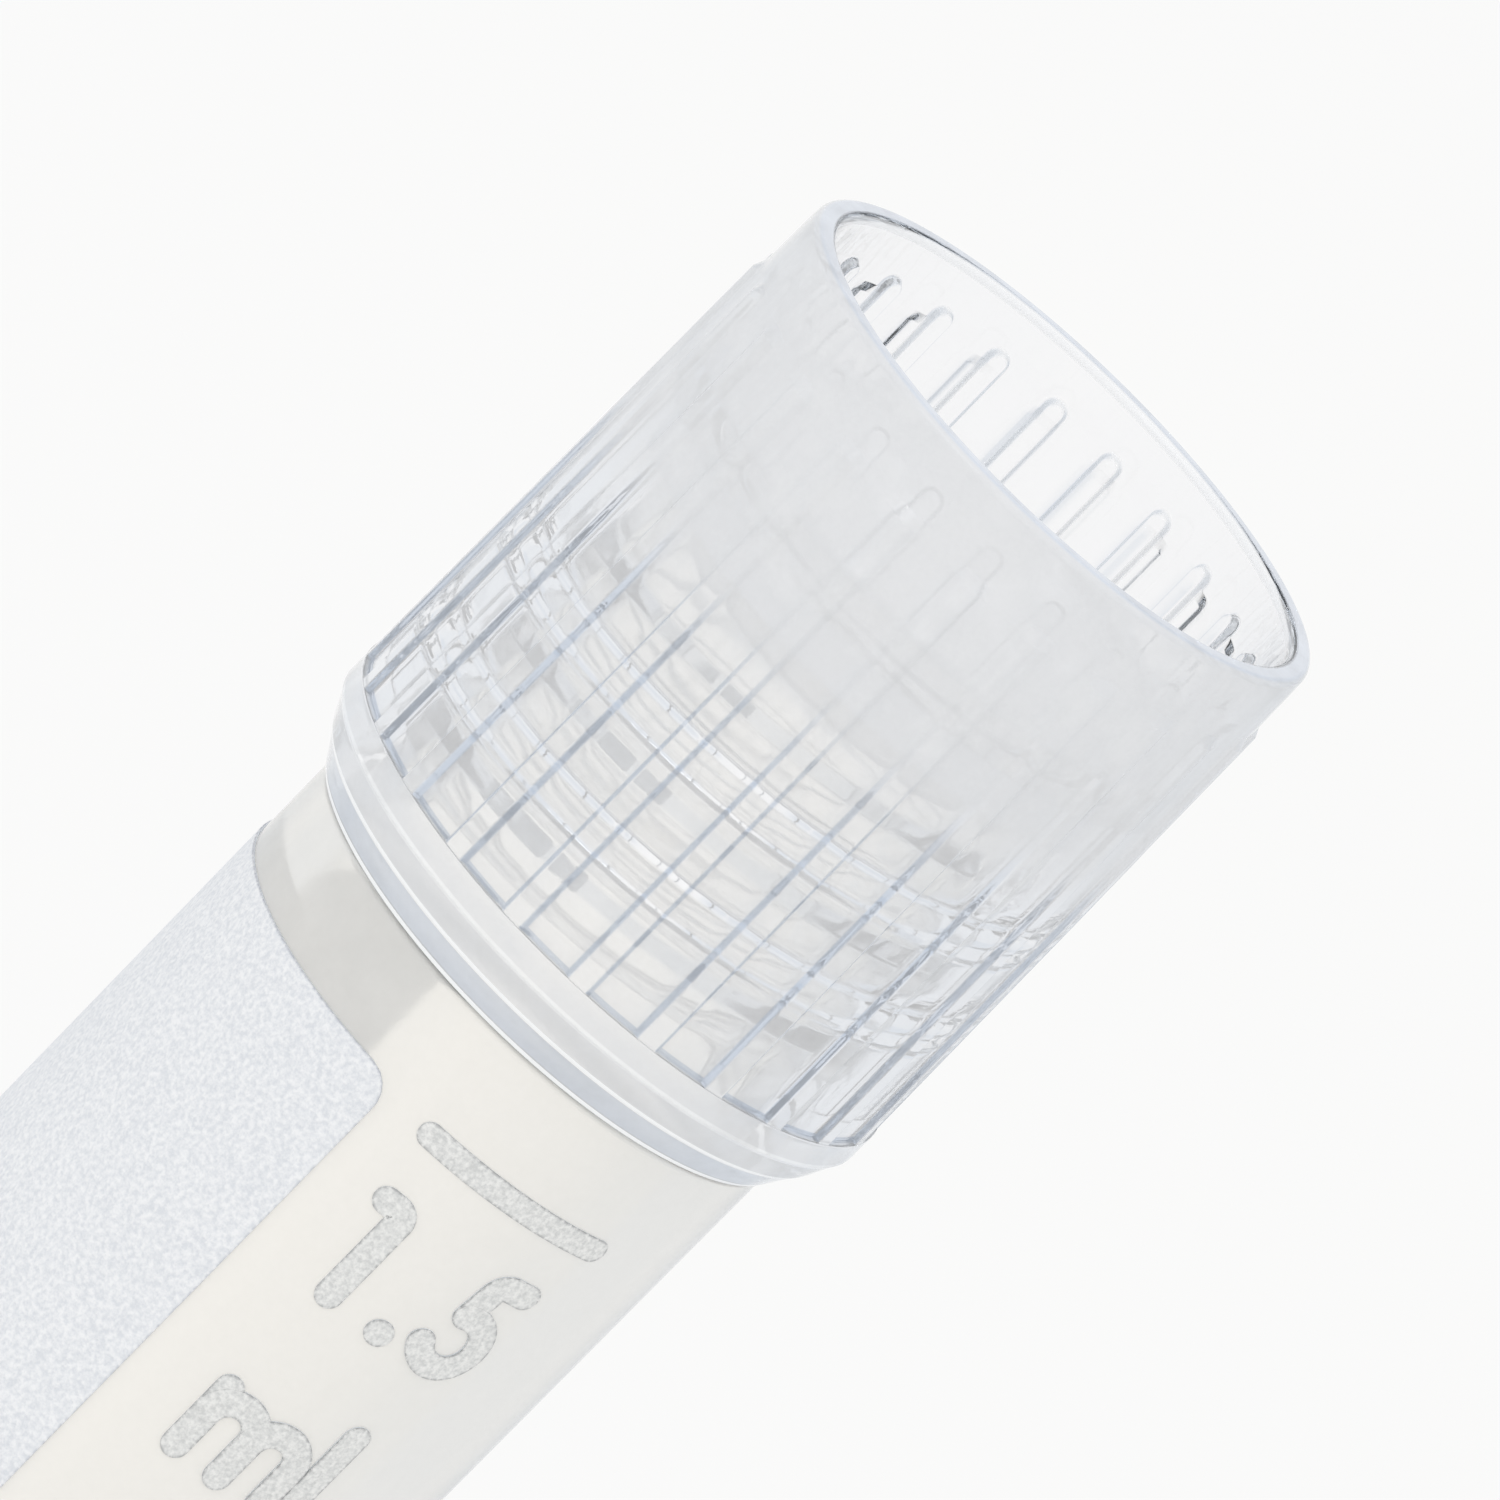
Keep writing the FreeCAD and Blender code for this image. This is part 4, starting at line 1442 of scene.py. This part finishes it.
@dataclass
class Studio:
    """White floor and surround, with one soft box.

    What is seen straight is plain white.  Light that has passed through or bounced off the plastic sees the
    same room with greyer sides, as between two soft boxes, so that clear walls show their edges.

    Attributes:
        white: Colour of the room ahead and behind.
        side: Colour of the room at the sides and straight above.
        floor_paint: Colour of the floor.
        day: Strength of the even light.
        floor_size: Width of the floor, in metres.
        middle: Height in metres from which the floor shows the room as the world does.
        beside: Sideways parts of a direction between which the white goes over to grey.
        above: Rises between which it does so upwards and downwards.
        glow: Share of the room's own white in the floor.
        lamp_power: Power of the soft box, in watts.
        lamp_place: Place of the soft box, in metres.
        lamp_size: Width and height of the soft box, in metres.
        lamp_aim: Height that the soft box faces, in metres.
    """

    white: str = "#FCFCFC"
    side: str = "#C2CEDC"
    floor_paint: str = "#F4F4F3"
    day: float = 1.0
    floor_size: float = 6.0
    middle: float = 0.04
    beside: tuple[float, float] = (0.12, 0.55)
    above: tuple[float, float] = (0.5, 0.95)
    glow: float = 0.55
    lamp_power: float = 1.1
    lamp_place: tuple[float, float, float] = (-0.55, -0.75, 0.9)
    lamp_size: tuple[float, float] = (0.6, 0.6)
    lamp_aim: float = 0.03

    def build(self) -> None:
        """Make the world, the floor and the lamp."""
        self.light_world()
        self.lay_floor()
        self.hang_lamp()

    def seen(self, tree: bpy.types.NodeTree) -> tuple[bpy.types.NodeSocket, bpy.types.NodeSocket]:
        """Light path as two shares: rays from the camera, and those with rays from gloss and clear plastic.

        Args:
            tree: Node tree.

        Returns:
            The two shares.
        """
        path = add_node(tree, "ShaderNodeLightPath")
        bent = add_node(tree, "ShaderNodeMath", {0: path.outputs["Is Glossy Ray"],
                                                 1: path.outputs["Is Transmission Ray"]}, operation="MAXIMUM")
        camera = path.outputs["Is Camera Ray"]
        both = add_node(tree, "ShaderNodeMath", {0: camera, 1: bent.outputs[0]}, operation="MAXIMUM")
        return camera, both.outputs[0]

    def room(self, tree: bpy.types.NodeTree, direction: bpy.types.NodeSocket,
             camera: bpy.types.NodeSocket) -> bpy.types.NodeSocket:
        """Colour of the room: white ahead and behind, grey at the sides, white all round to the camera.

        The share of grey is a smooth step of the sideways part of the level direction, or of the rise where
        that gives more.

        Args:
            tree: Node tree.
            direction: Direction that is looked in.
            camera: Share of rays from the camera.

        Returns:
            The colour.
        """
        direction = add_node(tree, "ShaderNodeVectorMath", {0: direction}, operation="NORMALIZE").outputs[0]
        split = add_node(tree, "ShaderNodeSeparateXYZ", {0: direction})
        level = add_node(tree, "ShaderNodeCombineXYZ", {0: split.outputs[0], 1: split.outputs[1]})
        unit = add_node(tree, "ShaderNodeVectorMath", {0: level.outputs[0]}, operation="NORMALIZE")
        sideways = add_node(tree, "ShaderNodeSeparateXYZ", {0: unit.outputs[0]})
        away = add_node(tree, "ShaderNodeMath", {0: sideways.outputs[0]}, operation="ABSOLUTE")
        beside = add_node(tree, "ShaderNodeMapRange",
                          {"Value": away.outputs[0], "From Min": self.beside[0], "From Max": self.beside[1]},
                          interpolation_type="SMOOTHSTEP")
        steep = add_node(tree, "ShaderNodeMath", {0: split.outputs[2]}, operation="ABSOLUTE")
        above = add_node(tree, "ShaderNodeMapRange",
                         {"Value": steep.outputs[0], "From Min": self.above[0], "From Max": self.above[1]},
                         interpolation_type="SMOOTHSTEP")
        share = add_node(tree, "ShaderNodeMath", {0: beside.outputs[0], 1: above.outputs[0]},
                         operation="MAXIMUM")
        mixed = add_node(tree, "ShaderNodeMix", {"Factor": share.outputs[0], 6: linear(self.white),
                                                 7: linear(self.side)}, data_type="RGBA")
        plain = add_node(tree, "ShaderNodeMix", {"Factor": camera, 6: mixed.outputs[2],
                                                 7: linear(self.white)}, data_type="RGBA")
        return plain.outputs[2]

    def light_world(self) -> None:
        """Light evenly, and show the room to the camera, to gloss and to clear plastic."""
        world = bpy.data.worlds.new("studio")
        bpy.context.scene.world = world
        world.use_nodes = True
        tree = world.node_tree
        tree.nodes.clear()
        camera, both = self.seen(tree)
        direction = add_node(tree, "ShaderNodeTexCoord").outputs["Generated"]
        room = self.room(tree, direction, camera)
        day = (self.day, self.day, self.day, 1.0)
        colour = add_node(tree, "ShaderNodeMix", {"Factor": both, 6: day, 7: room}, data_type="RGBA")
        background = add_node(tree, "ShaderNodeBackground", {"Color": colour.outputs[2]})
        add_node(tree, "ShaderNodeOutputWorld", {"Surface": background.outputs[0]})

    def lay_floor(self) -> None:
        """Lay the floor: paint, which keeps the shadow, and in its glow's share the room's own white."""
        half = self.floor_size / 2.0
        mesh = bpy.data.meshes.new("floor")
        mesh.from_pydata([(-half, -half, 0.0), (half, -half, 0.0), (half, half, 0.0), (-half, half, 0.0)], [],
                         [(0, 1, 2, 3)])
        floor = bpy.data.objects.new("floor", mesh)
        bpy.context.scene.collection.objects.link(floor)
        material = new_material("white_studio_floor")
        tree = material.node_tree
        camera, both = self.seen(tree)
        place = add_node(tree, "ShaderNodeTexCoord").outputs["Object"]
        below = add_node(tree, "ShaderNodeVectorMath", {0: place, 1: (0.0, 0.0, -self.middle)},
                         operation="ADD")
        room = self.room(tree, below.outputs[0], camera)
        paint = add_node(tree, "ShaderNodeBsdfDiffuse", {"Color": linear(self.floor_paint)})
        glow = add_node(tree, "ShaderNodeEmission", {"Color": room})
        share = add_node(tree, "ShaderNodeMath", {0: both, 1: self.glow}, operation="MULTIPLY")
        surface = add_node(tree, "ShaderNodeMixShader", {0: share.outputs[0], 1: paint.outputs[0],
                                                         2: glow.outputs[0]})
        add_node(tree, "ShaderNodeOutputMaterial", {"Surface": surface.outputs[0]})
        mesh.materials.append(material)

    def hang_lamp(self) -> None:
        """Hang a soft box that faces the vial."""
        light = bpy.data.lights.new("key_box", "AREA")
        light.shape, light.size, light.size_y = "RECTANGLE", *self.lamp_size
        light.energy = self.lamp_power
        lamp = bpy.data.objects.new("key_box", light)
        aim = Vector((0.0, 0.0, self.lamp_aim)) - Vector(self.lamp_place)
        turned = aim.to_track_quat("-Z", "Y").to_matrix().to_4x4()
        lamp.matrix_world = Matrix.Translation(self.lamp_place) @ turned
        bpy.context.scene.collection.objects.link(lamp)


@dataclass
class LeaningCamera:
    """Long lens near the vial, looking down a little, and rolled so that the vial leans to the right.

    Attributes:
        azimuth: Bearing of the camera from the vial, in degrees.
        elevation: Angle over the level from which it looks, in degrees.
        distance: Distance from the point aimed at.
        aim_height: Height of that point.
        aim_off: How far it lies off the axis, both to the left and up.
        lens: Focal length.
        sensor: Width of the sensor.
        clip_m: Nearest and farthest distance that is seen, in metres.
        lean: Angle of the vial's axis over the level, in degrees.
    """

    azimuth: float = -95.3
    elevation: float = 15.8
    distance: float = 235.0
    aim_height: float = 39.8
    aim_off: float = 0.102
    lens: float = 315.0
    sensor: float = 36.0
    clip_m: tuple[float, float] = (0.01, 20.0)
    lean: float = 45.54

    def build(self) -> None:
        """Set the camera.

        Right and up of an unrolled camera come from its bearing, and the roll turns the image of the vial's
        axis to the angle of the lean over the level.  The point aimed at lies off the axis by the same small
        distance to the left and up.
        """
        turn, tilt, lean = np.radians([self.azimuth, self.elevation, self.lean])
        back = np.array([np.cos(tilt) * np.cos(turn), np.cos(tilt) * np.sin(turn), np.sin(tilt)])
        level = np.array([-np.sin(turn), np.cos(turn), 0.0])
        rise = np.cross(back, level)
        right = np.cos(lean) * rise + np.sin(lean) * level
        up = np.sin(lean) * rise - np.cos(lean) * level
        aim = np.array([0.0, 0.0, self.aim_height]) + self.aim_off * (up - right)
        data = bpy.data.cameras.new("leaning_camera")
        data.lens, data.sensor_width = self.lens, self.sensor
        data.clip_start, data.clip_end = self.clip_m
        camera = bpy.data.objects.new("leaning_camera", data)
        rows = np.stack([right, up, back], axis=1).tolist()
        turned = Matrix([[*row, 0.0] for row in rows] + [[0.0, 0.0, 0.0, 1.0]])
        place = (aim + self.distance * back) * MM
        camera.matrix_world = Matrix.Translation(place.tolist()) @ turned
        bpy.context.scene.collection.objects.link(camera)
        bpy.context.scene.camera = camera


def main() -> None:
    """Build the pieces, the stage and the camera."""
    logging.basicConfig(level=logging.INFO, format="%(message)s")
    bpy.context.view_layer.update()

    cap_low, cap_high = box_mm("cap")
    vial_low, vial_high = box_mm("vial_body")
    seal_low, seal_high = box_mm("seal_ring")
    patch_low, patch_high = box_mm("writing_patch")

    # Clear polypropylene, moulded: a pale haze hides the upper part, and the lower part lets the threads
    # through, bent and doubled.  A painted shade darkens the sides of the ribs and a painted highlight
    # whitens the moulded edges.
    clear = Polypropylene("clear_polypropylene_moulded", colour="#FCFCFD", veil_colour="#E2E3E5",
                          roughness=0.0, ior=1.39, veil=0.56, veil_top=0.9, rise_mm=(41.8, 43.8),
                          veil_from_mm=5.58, core_mm=4.3, foot_mm=(36.0, 36.4), veil_foot=0.24, uneven=0.12,
                          flow_depth=0.04)
    # Milky polypropylene, moulded: a warm, cloudy tube that shows the panel's far side as a soft shade.
    milky = Polypropylene("milky_polypropylene_moulded", colour="#FFFDF8", veil_colour="#F1EFEB",
                          roughness=0.1, ior=1.45, veil=0.7, veil_top=0.26, rise_mm=(34.45, 34.9),
                          veil_from_mm=4.5, uneven=0.05, flow_depth=0.04)
    # Silicone, pressed: a soft white ring with hardly any shine, seen as a pale shade through the cap.  The
    # real rubber lets a little light through, which this one doesn't.
    silicone = Silicone("translucent_silicone", colour="#FFFFFF")
    # Marking ink, pad-printed: a dull white film with a fine grain and a hair-thin painted shade along its
    # edge.  The grain is drawn coarser than the ink's own, which is too fine to show.
    panel_ink = Ink("white_marking_ink", colour="#F2F3F5", shade="#DDE0E5", rim="#C6C9D0", rim_mm=0.04,
                    stipple_mm=0.1, depth=1.0)
    # The same ink in grey for the volume mark, with its grain drawn coarser too.
    mark_ink = Ink("grey_graduation_ink", colour="#ECECEA", shade="#D0D1D0", rim="#A8A9A9", rim_mm=0.05,
                   stipple_mm=0.09, depth=0.8)

    cap = ScrewCap(top=cap_high[2], lip=cap_low[2], ring_radius=6.29, ceiling=seal_high[2])
    new_piece(cap.build(cap.angles()).mesh("screw_cap"), "cap", Slot.CAP, clear.material(), "cap")
    tube = VialTube(height=vial_high[2], radius=5.42)
    new_piece(tube.build().mesh("vial_tube"), "vial", Slot.TUBE, milky.material(), "vial_body")
    seal = SealRing(low=seal_low[2] + HAIR, high=seal_high[2] - HAIR, outer=seal_high[0])
    new_piece(seal.build().mesh("seal_washer"), "seal", Slot.SEAL, silicone.material(), "seal_ring")
    panel = WritingPanel(low=patch_low[2], high=patch_high[2], radius=-patch_low[0])
    new_piece(panel.mesh("writing_panel"), "vial", Slot.INK, panel_ink.material(), "writing_patch")
    mark = VolumeMark(radius=tube.radius)
    new_piece(mark.mesh("volume_mark"), "vial", Slot.INK, mark_ink.material())
    bpy.context.scene.view_settings.view_transform = "Standard"
    Studio().build()
    LeaningCamera().build()


if __name__ == "__main__":
    main()
